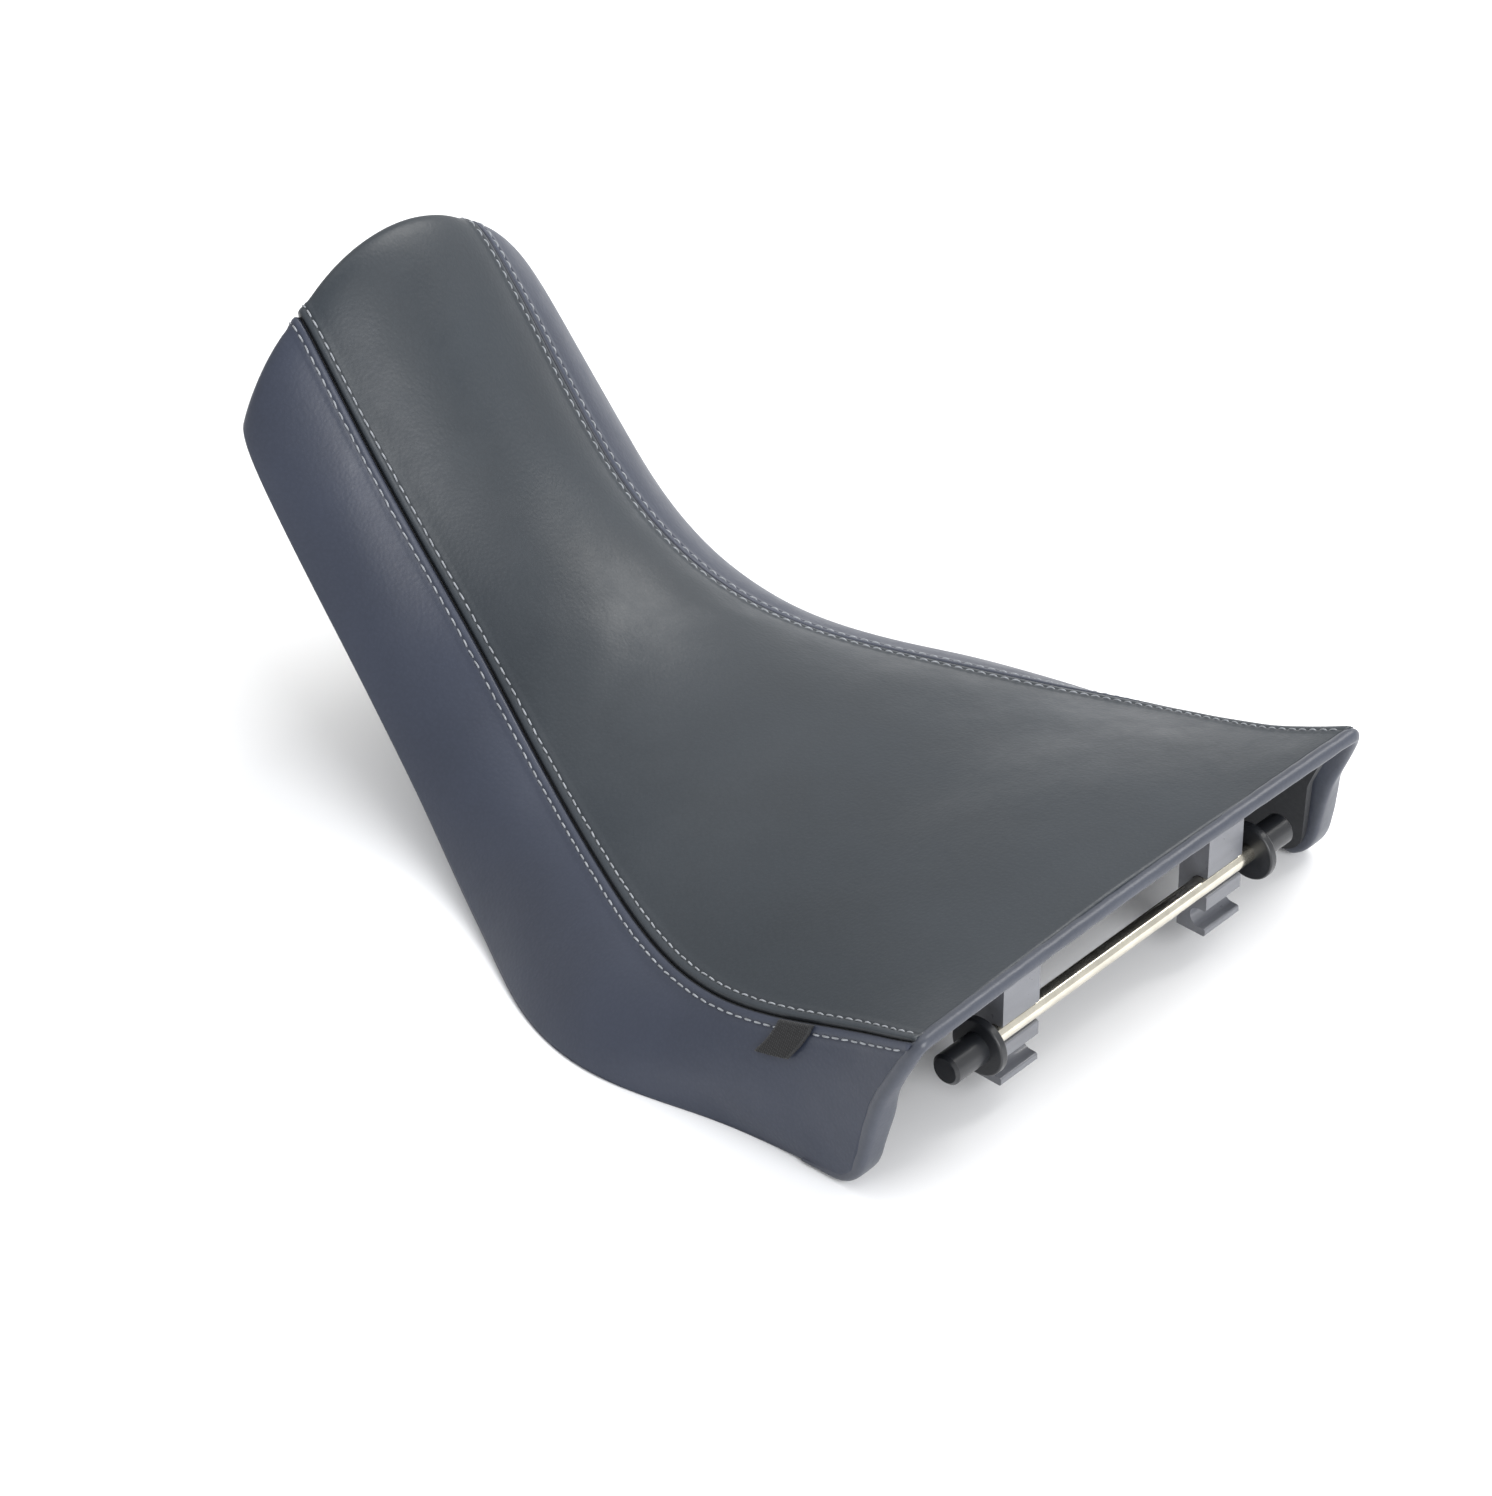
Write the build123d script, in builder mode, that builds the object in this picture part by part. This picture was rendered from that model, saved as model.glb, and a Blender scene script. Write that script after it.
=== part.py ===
"""Rider's seat for a motorcycle, with a height rail across its open rear end.

+X points forward to the raised nose, +Y to the rider's left, +Z up.
The origin is on the floor, under the middle of the seat's bounding box.
A vinyl cover in three panels wraps a foam cushion on a moulded base pan. Two brackets
under the rear edge hold the height rail, which pulls out rearwards.
"""
import os
from math import atan2, copysign, cos, exp, log, radians, sin, sqrt

from build123d import *

os.makedirs("parts", exist_ok=True)

# ---- overall sizes -------------------------------------------------------------------
seat_length = 490.0          # rear edge to nose end
rear_half_width = 157.0      # seam to centre line over the rear half
nose_half_width = 62.0       # the same at the nose
seam_low_height = 44.0       # lowest point of the side seams above the floor
rear_rise = 50.0             # how far the seams climb again towards the rear edge
nose_slope = 1.42            # steepness of the climb to the nose, rise over run
rear_crown = 8.0             # bulge of the top panel above the seams at the rear edge
mid_crown = 26.0             # the same over the middle and the nose

# ---- where the shape changes along X --------------------------------------------------
rear_x = -seat_length / 2
nose_x = seat_length / 2
narrowing_start_x = rear_x + 100.0
narrowing_end_x = nose_x - 90.0
seam_low_x = rear_x + 175.0
seam_knee_x = nose_x - 136.0     # the seams turn up to the nose about here
hem_knee_x = nose_x - 134.0      # the hem turns up here
knee_softness = 38.0
hem_slope = 1.34
hem_softness = 35.0

# ---- side panels ----------------------------------------------------------------------
rear_flare = 16.0            # hem outside the seam, rear
mid_flare = 60.0             # the same beside the rider's thighs
nose_flare = 42.0            # and along the nose
flare_start_x = rear_x + 80.0
flare_end_x = rear_x + 225.0
panel_bulge = 5.0            # side panel's outward curve at mid height
skirt_rear_setback = 24.0    # lower corner of the skirt ahead of the rear edge
skirt_bend_setback = 15.0    # where the rear edge turns down
skirt_bend_share = 0.6       # height of that turn, share of the rear seam height
skirt_corner_radius = 20.0

# ---- nose end --------------------------------------------------------------------------
nose_rounding = 30.0         # length over which the nose closes in
nose_side_draw = 17.0        # each side drawn in at the very end
nose_top_draw = 24.0         # top drawn down at the very end

# ---- layers ----------------------------------------------------------------------------
cover_thickness = 1.5
side_foam_thickness = 9.0
binding_width = 4.5          # rolled rim of the open rear edge
pan_depth_below_seam = 8.0   # edges of the pan's roof under the seams
pan_rear_depth = 4.0         # the same at the rear edge, where the seat is thin
pan_taper_length = 110.0     # the roof sinks to its full depth over this length
pan_crown = 5.0              # the roof's own bulge
pan_wall = 3.5
pan_end_x = nose_x - 49.0    # front wall of the pan, inside the nose

# ---- seams -----------------------------------------------------------------------------
stitch_length = 4.6
stitch_pitch = 6.0
stitch_thickness = 0.9
stitch_row_offset = 5.5      # each row from the seam line
stitch_end_margin = 5.0
stitch_seat = 0.25           # depth to which a stitch sinks into the vinyl
label_width = 20.0
label_height = 16.0
label_thickness = 1.4
label_x = rear_x + 75.0

# ---- height rail ------------------------------------------------------------------------
rail_diameter = 10.0
rail_x = rear_x + 16.0
rail_z = 47.0
flange_spacing = 194.0       # between the inner faces of the end bushes
flange_diameter = 30.0
flange_thickness = 4.5
peg_diameter = 16.0
peg_length = 22.5
peg_chamfer = 1.5
flange_edge_radius = 1.0
rail_socket_depth = 20.0     # how far the rod reaches into each bush
rail_clearance = 0.3         # rod to channel wall, each side

# ---- brackets ----------------------------------------------------------------------------
bracket_spacing = 150.0
bracket_width = 26.0
bracket_face_x = rail_x - 4.0    # rear face, its channel mouths open to the rear
bracket_depth = 17.0
web_height = 8.6             # between the two channels
lip_height = 4.2             # under the lower channel
bracket_edge_radius = 1.2
foot_length = 52.0           # bracket's foot along X, screwed under the pan
foot_height = 5.0
screw_spacing = 22.0
screw_diameter = 5.0
screw_head_diameter = 10.0
screw_head_height = 3.2

# ---- underside fittings --------------------------------------------------------------------
tongue_width = 42.0
tongue_thickness = 3.0
tongue_x = nose_x - 175.0    # bend, where the plate leaves the roof
tongue_reach = 46.0
tongue_base = 36.0
tongue_drop = 3.0            # flat end's top under the roof at tongue_x
tongue_bend = 12.0           # overlap of the flat end with the sloping base
sleeve_wall = 2.5
sleeve_length = 26.0
rivet_diameter = 5.0
rivet_head_diameter = 9.0
rivet_head_height = 2.4
bumper_diameter = 26.0
bumper_lower_diameter = 20.0
bumper_foot_z = 10.0         # underside of every bumper
bumper_edge_radius = 2.0
rear_bumper_x = rear_x + 95.0
rear_bumper_y = 95.0
front_bumper_x = nose_x - 215.0
front_bumper_y = 55.0
staple_width = 10.0
staple_wire = 1.0
staple_pitch = 28.0
staple_edge = 14.0           # staples from the rear edge
staple_seat = 0.25
skirt_staple_share = 0.7     # place down the skirt, from roof to hem

# ---- stations of the lofts -------------------------------------------------------------------
body_stations = 11
nose_angles = (22, 42, 60, 76, 90)     # degrees round the nose rounding
overrun = 14.0               # lofts run past the rear edge and are trimmed
hem_overcut = 6.0            # the hollow's slanted walls are cut on past the hem
hem_gap = 0.1                # pan's foot above the cover's turned-under lip
below = 60.0                 # the hollow's cutting block reaches this far under the floor


def ease(t):
    """Smooth step from 0 to 1."""
    t = min(max(t, 0.0), 1.0)
    return t * t * (3 - 2 * t)


def ramp(x, knee, softness, slope):
    """Flat before the knee, rising with the slope after it."""
    return slope * softness * log(1 + exp((x - knee) / softness))


def nose_closing(x, inset=0.0):
    """0 along the body, growing to 1 at the nose end on a quarter ellipse."""
    into = (x - (nose_x - nose_rounding)) / (nose_rounding - inset)
    into = min(max(into, 0.0), 1.0)
    return 1 - sqrt(1 - into * into)


def half_width(x, inset=0.0):
    share = ease((x - narrowing_start_x) / (narrowing_end_x - narrowing_start_x))
    plain = rear_half_width + (nose_half_width - rear_half_width) * share
    return plain - nose_side_draw * nose_closing(x, inset)


def seam_height(x, inset=0.0):
    back = max((seam_low_x - x) / (seam_low_x - rear_x), 0.0)
    climb = ramp(x, seam_knee_x, knee_softness, nose_slope)
    plain = seam_low_height + rear_rise * back ** 1.6 + climb
    return plain - nose_top_draw * nose_closing(x, inset)


def hem_height(x):
    return ramp(x, hem_knee_x, hem_softness, hem_slope)


def flare(x):
    widening = (mid_flare - rear_flare) * ease((x - flare_start_x) / (flare_end_x - flare_start_x))
    slimming = (nose_flare - mid_flare) * ease((x - flare_end_x) / (nose_x - flare_end_x))
    return rear_flare + widening + slimming


def hem_half_width(x, inset=0.0):
    return half_width(x, inset) + flare(x)


def crown(x):
    share = ease((x - rear_x) / (narrowing_start_x - rear_x))
    return rear_crown + (mid_crown - rear_crown) * share


def pan_depth(x):
    share = ease((x - rear_x) / pan_taper_length)
    return pan_rear_depth + (pan_depth_below_seam - pan_rear_depth) * share


def slant(x):
    """Vertical thickness that gives 1 mm square to the sloping seat."""
    x = min(x, nose_x - nose_rounding)
    step = 1.0
    return sqrt(1 + ((seam_height(x + step) - seam_height(x - step)) / (2 * step)) ** 2)


def stations(inset):
    """Places along X for the sections of a loft that ends inset short of the nose."""
    first, last = rear_x - overrun, nose_x - nose_rounding
    along = [first + (last - first) * i / (body_stations - 1) for i in range(body_stations)]
    reach = nose_rounding - inset
    return along + [last + reach * sin(radians(angle)) for angle in nose_angles]


def pan_stations(inset):
    """Places along X for the pan, which stops short of the nose in a flat wall."""
    first, last = rear_x - overrun, pan_end_x - (inset - pan_inset)
    return [first + (last - first) * i / (body_stations - 1) for i in range(body_stations)]


def seat_points(x, inset, raised):
    """Seam, peak, middle of the side and hem of the outline at x, drawn in by inset."""
    seam = (half_width(x, inset) - inset, seam_height(x, inset) - inset * slant(x))
    peak = (0, seam[1] + crown(x))
    hem = (hem_half_width(x, inset) - inset, hem_height(x) + raised)
    middle = ((seam[0] + hem[0]) / 2 + panel_bulge, (seam[1] + hem[1]) / 2 + panel_bulge)
    return seam, peak, middle, hem


def flipped(point):
    return (-point[0], point[1])


def seat_section(x, inset, raised):
    """Outline of the whole seat at x, drawn in by inset, its hem raised."""
    seam, peak, middle, hem = seat_points(x, inset, raised)
    with BuildSketch(Plane.YZ.offset(x)) as section:
        with BuildLine():
            ThreePointArc(seam, peak, flipped(seam))
            ThreePointArc(flipped(seam), flipped(middle), flipped(hem))
            Line(flipped(hem), hem)
            ThreePointArc(hem, middle, seam)
        make_face()
    return section.sketch


def top_panel_section(x):
    """The top panel's thin outline at x, from seam to seam."""
    seam, peak, _, _ = seat_points(x, 0, 0)
    inner_seam, inner_peak, _, _ = seat_points(x, cover_thickness, 0)
    with BuildSketch(Plane.YZ.offset(x)) as section:
        with BuildLine():
            ThreePointArc(seam, peak, flipped(seam))
            Line(flipped(seam), flipped(inner_seam))
            ThreePointArc(flipped(inner_seam), inner_peak, inner_seam)
            Line(inner_seam, seam)
        make_face()
    return section.sketch


def side_panel_section(x):
    """The left panel's thin outline at x, with the lip turned under the hem."""
    seam, _, middle, hem = seat_points(x, 0, 0)
    inner_seam, _, inner_middle, inner_hem = seat_points(x, cover_thickness, cover_thickness)
    lip_end = hem[0] - hollow_inset
    with BuildSketch(Plane.YZ.offset(x)) as section:
        with BuildLine():
            ThreePointArc(seam, middle, hem)
            Polyline(hem, (lip_end, hem[1]), (lip_end, inner_hem[1]), inner_hem)
            ThreePointArc(inner_hem, inner_middle, inner_seam)
            Line(inner_seam, seam)
        make_face()
    return section.sketch


def pan_points(x, inset):
    """Roof corner, roof peak and skirt foot of the pan at x."""
    depth = pan_depth(x) + inset - pan_inset
    corner = (half_width(x) - inset, seam_height(x) - depth * slant(x))
    peak = (0, corner[1] + pan_crown)
    foot = (hem_half_width(x) - inset, hem_height(x) + cover_thickness + hem_gap)
    return corner, peak, foot


def pan_section(x, inset):
    """Outline of the base pan at x: bowed roof and slanted skirts."""
    corner, peak, foot = pan_points(x, inset)
    with BuildSketch(Plane.YZ.offset(x)) as section:
        with BuildLine():
            ThreePointArc(corner, peak, flipped(corner))
            Polyline(flipped(corner), flipped(foot), foot, corner)
        make_face()
    return section.sketch


def pan_cut_section(x, inset):
    """The same outline with its skirts carried on past the hem and straight down."""
    corner, peak, foot = pan_points(x, inset)
    share = hem_overcut / (corner[1] - foot[1])
    low = (foot[0] + (foot[0] - corner[0]) * share, foot[1] - hem_overcut)
    ground = (low[0], -below)
    with BuildSketch(Plane.YZ.offset(x)) as section:
        with BuildLine():
            ThreePointArc(corner, peak, flipped(corner))
            Polyline(flipped(corner), flipped(low), flipped(ground), ground, low, corner)
        make_face()
    return section.sketch


def lofted(sections):
    with BuildPart() as block:
        for section in sections:
            add(section)
        loft()
    return block.part


def roof_underside(x, y):
    """Height of the pan's inner roof above the floor."""
    corner, peak, _ = pan_points(x, hollow_inset)
    return peak[1] - pan_crown * (y / corner[0]) ** 2


def along_arc(start, middle, end, distance):
    """Point that far from start on the arc through three points, and its outward normal."""
    (ax, ay), (bx, by), (cx, cy) = start, middle, end
    d = 2 * (ax * (by - cy) + bx * (cy - ay) + cx * (ay - by))
    a2, b2, c2 = ax * ax + ay * ay, bx * bx + by * by, cx * cx + cy * cy
    ox = (a2 * (by - cy) + b2 * (cy - ay) + c2 * (ay - by)) / d
    oy = (a2 * (cx - bx) + b2 * (ax - cx) + c2 * (bx - ax)) / d
    radius = sqrt((ax - ox) ** 2 + (ay - oy) ** 2)
    cross = (ax - ox) * (by - oy) - (ay - oy) * (bx - ox)
    turn = atan2(cross, (ax - ox) * (bx - ox) + (ay - oy) * (by - oy))
    angle = atan2(ay - oy, ax - ox) + copysign(distance / radius, turn)
    normal = (cos(angle), sin(angle))
    return (ox + radius * normal[0], oy + radius * normal[1]), normal


def beside_seam(x, side, offset):
    """Point on the skin at x, offset from the seam: positive on the side panel, negative on top."""
    seam, peak, middle, hem = seat_points(x, 0, 0)
    if offset < 0:
        point, normal = along_arc(seam, peak, flipped(seam), -offset)
    else:
        point, normal = along_arc(seam, middle, hem, offset)
    return Vector(x, side * point[0], point[1]), Vector(0, side * normal[0], normal[1])


def stitch_places(side, offset):
    """Planes of the stitches of one row, evenly spaced along it."""
    places = []
    x = rear_x + binding_width + stitch_end_margin
    while x < nose_x - stitch_end_margin:
        here, normal = beside_seam(x, side, offset)
        ahead, _ = beside_seam(x + 1.0, side, offset)
        along = ahead - here
        origin = here + normal * (stitch_thickness / 2 - stitch_seat)
        upright = normal - along * (normal.dot(along) / along.dot(along))
        places.append(Plane(origin=origin, x_dir=along, z_dir=upright))
        x += stitch_pitch / along.length
    return places


def rear_space(forward):
    """Space ahead of the open rear end, whose skirts are cut back and rounded at the bottom."""
    tall = 2 * seat_length
    edge = rear_x + forward
    corner = edge + skirt_rear_setback
    with BuildPart() as space:
        with BuildSketch(Plane.XZ.offset(-tall / 2)):
            with BuildLine():
                drop = FilletPolyline(
                    (edge, tall), (edge, rear_edge_height - forward),
                    (edge + skirt_bend_setback, rear_edge_height * skirt_bend_share), (corner, forward - 1),
                    (corner + 3 * skirt_rear_setback, forward - 6), radius=skirt_corner_radius)
                Polyline(drop @ 1, (corner + tall, -tall), (tall, tall), drop @ 0)
            make_face()
        extrude(amount=tall)
    return space.part


rear_edge_height = seam_height(rear_x)
pan_inset = cover_thickness + side_foam_thickness
hollow_inset = pan_inset + pan_wall

whole_seat = lofted(seat_section(x, 0, 0) for x in stations(0))
inside_cover = lofted(
    seat_section(x, cover_thickness, cover_thickness) for x in stations(cover_thickness))
pan_outside = lofted(pan_section(x, pan_inset) for x in pan_stations(pan_inset))
pan_room = lofted(pan_cut_section(x, pan_inset) for x in pan_stations(pan_inset))
pan_inside = lofted(pan_cut_section(x, hollow_inset) for x in pan_stations(hollow_inset))
behind_binding = rear_space(0)
ahead_of_binding = rear_space(binding_width)

bracket_x = bracket_face_x + bracket_depth
channel_half = rail_diameter / 2 + rail_clearance
lower_channel_z = rail_z - 2 * channel_half - web_height
lip_z = lower_channel_z - channel_half - lip_height
screw_places = [(bracket_x + foot_length / 2 - screw_spacing / 2 * step, side * bracket_spacing / 2)
                for side in (1, -1) for step in (1, -1)]
rivet_places = [(tongue_x - tongue_base / 2, side * tongue_width / 4) for side in (1, -1)]
rail_plane = Plane(origin=(rail_x, 0, rail_z), x_dir=(1, 0, 0), z_dir=(0, 1, 0))


def drill(places, diameter):
    """Upright holes through the part that is being built."""
    for x, y in places:
        with Locations((x, y, roof_underside(x, y))):
            Cylinder(diameter / 2, 4 * below, mode=Mode.SUBTRACT)


def under_roof(thickness, low_x, high_x, y, width):
    """Plate of that thickness against the pan's sloping roof."""
    with BuildPart() as plate:
        add(pan_inside)
        with Locations((0, 0, -thickness)):
            add(pan_inside, mode=Mode.SUBTRACT)
        with Locations(((low_x + high_x) / 2, y, seat_length / 2)):
            Box(high_x - low_x, width, seat_length, mode=Mode.INTERSECT)
    return plate.part


# ---- base pan ---------------------------------------------------------------------------------
with BuildPart() as base_pan:
    add(pan_outside)
    add(pan_inside, mode=Mode.SUBTRACT)
    add(ahead_of_binding, mode=Mode.INTERSECT)
    drill(screw_places, screw_diameter)
    drill(rivet_places, rivet_diameter)
base_pan.part.label = "base_pan"
export_step(base_pan.part, "parts/base_pan.step")

# ---- foam cushion -----------------------------------------------------------------------------
with BuildPart() as foam_cushion:
    add(inside_cover)
    add(ahead_of_binding, mode=Mode.INTERSECT)
    add(pan_room, mode=Mode.SUBTRACT)
foam_cushion.part.label = "foam_cushion"
export_step(foam_cushion.part, "parts/foam_cushion.step")

# ---- vinyl cover: top panel, two side panels and the nose's end panel ----------------------------
with BuildPart() as cover_top_panel:
    for x in stations(cover_thickness):
        add(top_panel_section(x))
    loft()
    add(ahead_of_binding, mode=Mode.INTERSECT)
cover_top_panel.part.label = "cover_top_panel"
export_step(cover_top_panel.part, "parts/cover_top_panel.step")

with BuildPart() as cover_left_panel:
    for x in stations(cover_thickness):
        add(side_panel_section(x))
    loft()
    add(ahead_of_binding, mode=Mode.INTERSECT)
cover_left_panel.part.label = "cover_left_panel"
export_step(cover_left_panel.part, "parts/cover_left_panel.step")

with BuildPart() as cover_right_panel:
    add(mirror(cover_left_panel.part, about=Plane.XZ))
cover_right_panel.part.label = "cover_right_panel"
export_step(cover_right_panel.part, "parts/cover_right_panel.step")

with BuildPart() as cover_nose_panel:
    add(whole_seat)
    with Locations((nose_x, 0, seat_length / 2)):
        Box(2 * cover_thickness, seat_length, seat_length, mode=Mode.INTERSECT)
cover_nose_panel.part.label = "cover_nose_panel"
export_step(cover_nose_panel.part, "parts/cover_nose_panel.step")

# ---- rolled binding round the open rear edge -----------------------------------------------------
with BuildPart() as rear_edge_binding:
    add(whole_seat)
    add(pan_inside, mode=Mode.SUBTRACT)
    add(behind_binding, mode=Mode.INTERSECT)
    add(ahead_of_binding, mode=Mode.SUBTRACT)
rear_edge_binding.part.label = "rear_edge_binding"
export_step(rear_edge_binding.part, "parts/rear_edge_binding.step")

# ---- topstitching: two rows along each seam ------------------------------------------------------
for side, name in ((1, "left"), (-1, "right")):
    with BuildPart() as stitching:
        for offset in (stitch_row_offset, -stitch_row_offset):
            with Locations(*stitch_places(side, offset)):
                Box(stitch_length, stitch_thickness, stitch_thickness)
    stitching.part.label = f"{name}_seam_stitching"
    export_step(stitching.part, f"parts/{name}_seam_stitching.step")

# ---- blank woven label folded out of the left seam -----------------------------------------------
label_top, label_normal = beside_seam(label_x, 1, label_height / 2)
label_origin = label_top + label_normal * (label_thickness / 2)
label_plane = Plane(origin=label_origin, x_dir=(1, 0, 0), z_dir=label_normal)
with BuildPart(label_plane) as seam_label:
    Box(label_width, label_height, label_thickness)
    fillet(seam_label.edges().filter_by(Axis.X), label_thickness / 3)
seam_label.part.label = "seam_label"
export_step(seam_label.part, "parts/seam_label.step")

# ---- staples that hold the cover to the pan ------------------------------------------------------
staple_x = rear_x + staple_edge
staple_rows = int((rear_half_width - hollow_inset) / staple_pitch)
with BuildPart() as cover_staples:
    for row in range(-staple_rows, staple_rows + 1):
        y = row * staple_pitch
        if abs(abs(y) - bracket_spacing / 2) > (bracket_width + staple_width) / 2:
            with Locations((staple_x, y, roof_underside(staple_x, y) - staple_wire / 2 + staple_seat)):
                Box(staple_wire, staple_width, staple_wire)
    for side in (1, -1):
        for step in range(1, 9):
            x = staple_x + skirt_rear_setback + step * staple_pitch
            corner, _, foot = pan_points(x, hollow_inset)
            y = corner[0] + (foot[0] - corner[0]) * skirt_staple_share - staple_wire / 2 + staple_seat
            z = corner[1] + (foot[1] - corner[1]) * skirt_staple_share
            with Locations((x, side * y, z)):
                Box(staple_width, staple_wire, staple_wire)
cover_staples.part.label = "cover_staples"
export_step(cover_staples.part, "parts/cover_staples.step")

# ---- rail brackets: upper channel for the rail, spare channel below ------------------------------
for side, name in ((1, "left"), (-1, "right")):
    y = side * bracket_spacing / 2
    with BuildPart() as bracket:
        with BuildSketch(Plane.XZ.offset(-y - bracket_width / 2)):
            with Locations(((bracket_face_x + bracket_x) / 2, (lip_z + rear_edge_height) / 2)):
                Rectangle(bracket_depth, rear_edge_height - lip_z)
            for channel_z in (rail_z, lower_channel_z):
                with Locations((rail_x, channel_z)):
                    Circle(channel_half, mode=Mode.SUBTRACT)
                with Locations((rail_x - bracket_depth / 2, channel_z)):
                    Rectangle(bracket_depth, 2 * channel_half, mode=Mode.SUBTRACT)
        extrude(amount=bracket_width)
        rear_edges = bracket.edges().filter_by(Axis.Y).group_by(Axis.X)[0]
        fillet(rear_edges.sort_by(Axis.Z)[:5], bracket_edge_radius)
        add(pan_inside, mode=Mode.INTERSECT)
        foot_start = bracket_x - bracket_edge_radius
        add(under_roof(foot_height, foot_start, bracket_x + foot_length, y, bracket_width))
        drill(screw_places, screw_diameter)
        for x, screw_y in screw_places:
            head_top = roof_underside(x, screw_y) - foot_height
            with Locations((x, screw_y, head_top - below / 2)):
                Cylinder(screw_head_diameter / 2 + rail_clearance, below, mode=Mode.SUBTRACT)
    bracket.part.label = f"{name}_rail_bracket"
    export_step(bracket.part, f"parts/{name}_rail_bracket.step")

# ---- screws of the bracket feet ------------------------------------------------------------------
with BuildPart() as bracket_screws:
    for x, y in screw_places:
        head_top = roof_underside(x, y) - foot_height
        with Locations((x, y, head_top - screw_head_height / 2)):
            Cylinder(screw_head_diameter / 2, screw_head_height)
        shank = foot_height + pan_wall
        with Locations((x, y, head_top + shank / 2)):
            Cylinder(screw_diameter / 2, shank)
bracket_screws.part.label = "bracket_screws"
export_step(bracket_screws.part, "parts/bracket_screws.step")

# ---- height rail: steel rod with a bush on each end ----------------------------------------------
rod_length = flange_spacing + 2 * rail_socket_depth
with BuildPart(rail_plane) as rail_rod:
    Cylinder(rail_diameter / 2, rod_length)
rail_rod.part.label = "rail_rod"
export_step(rail_rod.part, "parts/rail_rod.step")

for side, name in ((1, "left"), (-1, "right")):
    flange_place = (rail_x, side * flange_spacing / 2, rail_z)
    inner_face = Plane(origin=flange_place, x_dir=(1, 0, 0), z_dir=(0, side, 0))
    with BuildPart() as end_bush:
        with BuildSketch(inner_face):
            Circle(flange_diameter / 2)
        extrude(amount=flange_thickness)
        fillet(end_bush.edges().filter_by(GeomType.CIRCLE), flange_edge_radius)
        with BuildSketch(inner_face.offset(flange_thickness)):
            Circle(peg_diameter / 2)
        extrude(amount=peg_length)
        chamfer(end_bush.faces().sort_by(Axis.Y, reverse=side > 0)[0].edges(), peg_chamfer)
        with BuildSketch(inner_face):
            Circle(rail_diameter / 2)
        extrude(amount=rail_socket_depth, mode=Mode.SUBTRACT)
    end_bush.part.label = f"{name}_end_bush"
    export_step(end_bush.part, f"parts/{name}_end_bush.step")

# ---- steel tongue under the waist, with its rubber sleeve and rivets -----------------------------
tongue_top = roof_underside(tongue_x, 0) - tongue_drop
tongue_end = tongue_x + tongue_reach
with BuildPart() as front_tongue:
    add(under_roof(tongue_thickness, tongue_x - tongue_base, tongue_x, 0, tongue_width))
    with Locations((tongue_x - tongue_bend / 2, 0, tongue_top - tongue_thickness / 2)):
        Box(tongue_bend, tongue_width, tongue_thickness)
    with Locations(((tongue_x + tongue_end) / 2, 0, tongue_top - tongue_thickness / 2)):
        Box(tongue_reach, tongue_width, tongue_thickness)
    drill(rivet_places, rivet_diameter)
front_tongue.part.label = "front_tongue"
export_step(front_tongue.part, "parts/front_tongue.step")

with BuildPart() as tongue_sleeve:
    with Locations((tongue_end - sleeve_length / 2 + sleeve_wall, 0, tongue_top - tongue_thickness / 2)):
        Box(sleeve_length, tongue_width + 2 * sleeve_wall, tongue_thickness + 2 * sleeve_wall)
    fillet(tongue_sleeve.edges().filter_by(Axis.X), sleeve_wall)
    add(front_tongue.part, mode=Mode.SUBTRACT)
tongue_sleeve.part.label = "tongue_sleeve"
export_step(tongue_sleeve.part, "parts/tongue_sleeve.step")

with BuildPart() as tongue_rivets:
    for x, y in rivet_places:
        head_top = roof_underside(x, y) - tongue_thickness
        with Locations((x, y, head_top - rivet_head_height / 2)):
            Cylinder(rivet_head_diameter / 2, rivet_head_height)
        shank = tongue_thickness + pan_wall
        with Locations((x, y, head_top + shank / 2)):
            Cylinder(rivet_diameter / 2, shank)
tongue_rivets.part.label = "tongue_rivets"
export_step(tongue_rivets.part, "parts/tongue_rivets.step")

# ---- rubber bumpers that rest on the frame -------------------------------------------------------
bumper_places = {
    "rear_left": (rear_bumper_x, rear_bumper_y), "rear_right": (rear_bumper_x, -rear_bumper_y),
    "front_left": (front_bumper_x, front_bumper_y), "front_right": (front_bumper_x, -front_bumper_y)}
for name, (x, y) in bumper_places.items():
    tall = roof_underside(x, y) + bumper_diameter - bumper_foot_z
    with BuildPart() as bumper:
        with Locations((x, y, bumper_foot_z + tall / 2)):
            Cone(bumper_lower_diameter / 2, bumper_diameter / 2, tall)
        fillet(bumper.edges().sort_by(Axis.Z)[0], bumper_edge_radius)
        add(pan_inside, mode=Mode.INTERSECT)
    bumper.part.label = f"{name}_bumper"
    export_step(bumper.part, f"parts/{name}_bumper.step")
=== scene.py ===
"""Looks of a motorcycle rider's seat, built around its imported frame.

A stitched vinyl cover in three panels is drawn over a foam cushion on a moulded base pan.
The rear edge is open and rolled, and two brackets under it hold the height rail.
Lengths are in metres, +X points to the nose, +Y to the rider's left and +Z up.
"""

import math

import bpy
import numpy as np
from bpy.props import FloatProperty, FloatVectorProperty, PointerProperty
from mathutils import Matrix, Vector
from mathutils.bvhtree import BVHTree


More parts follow.
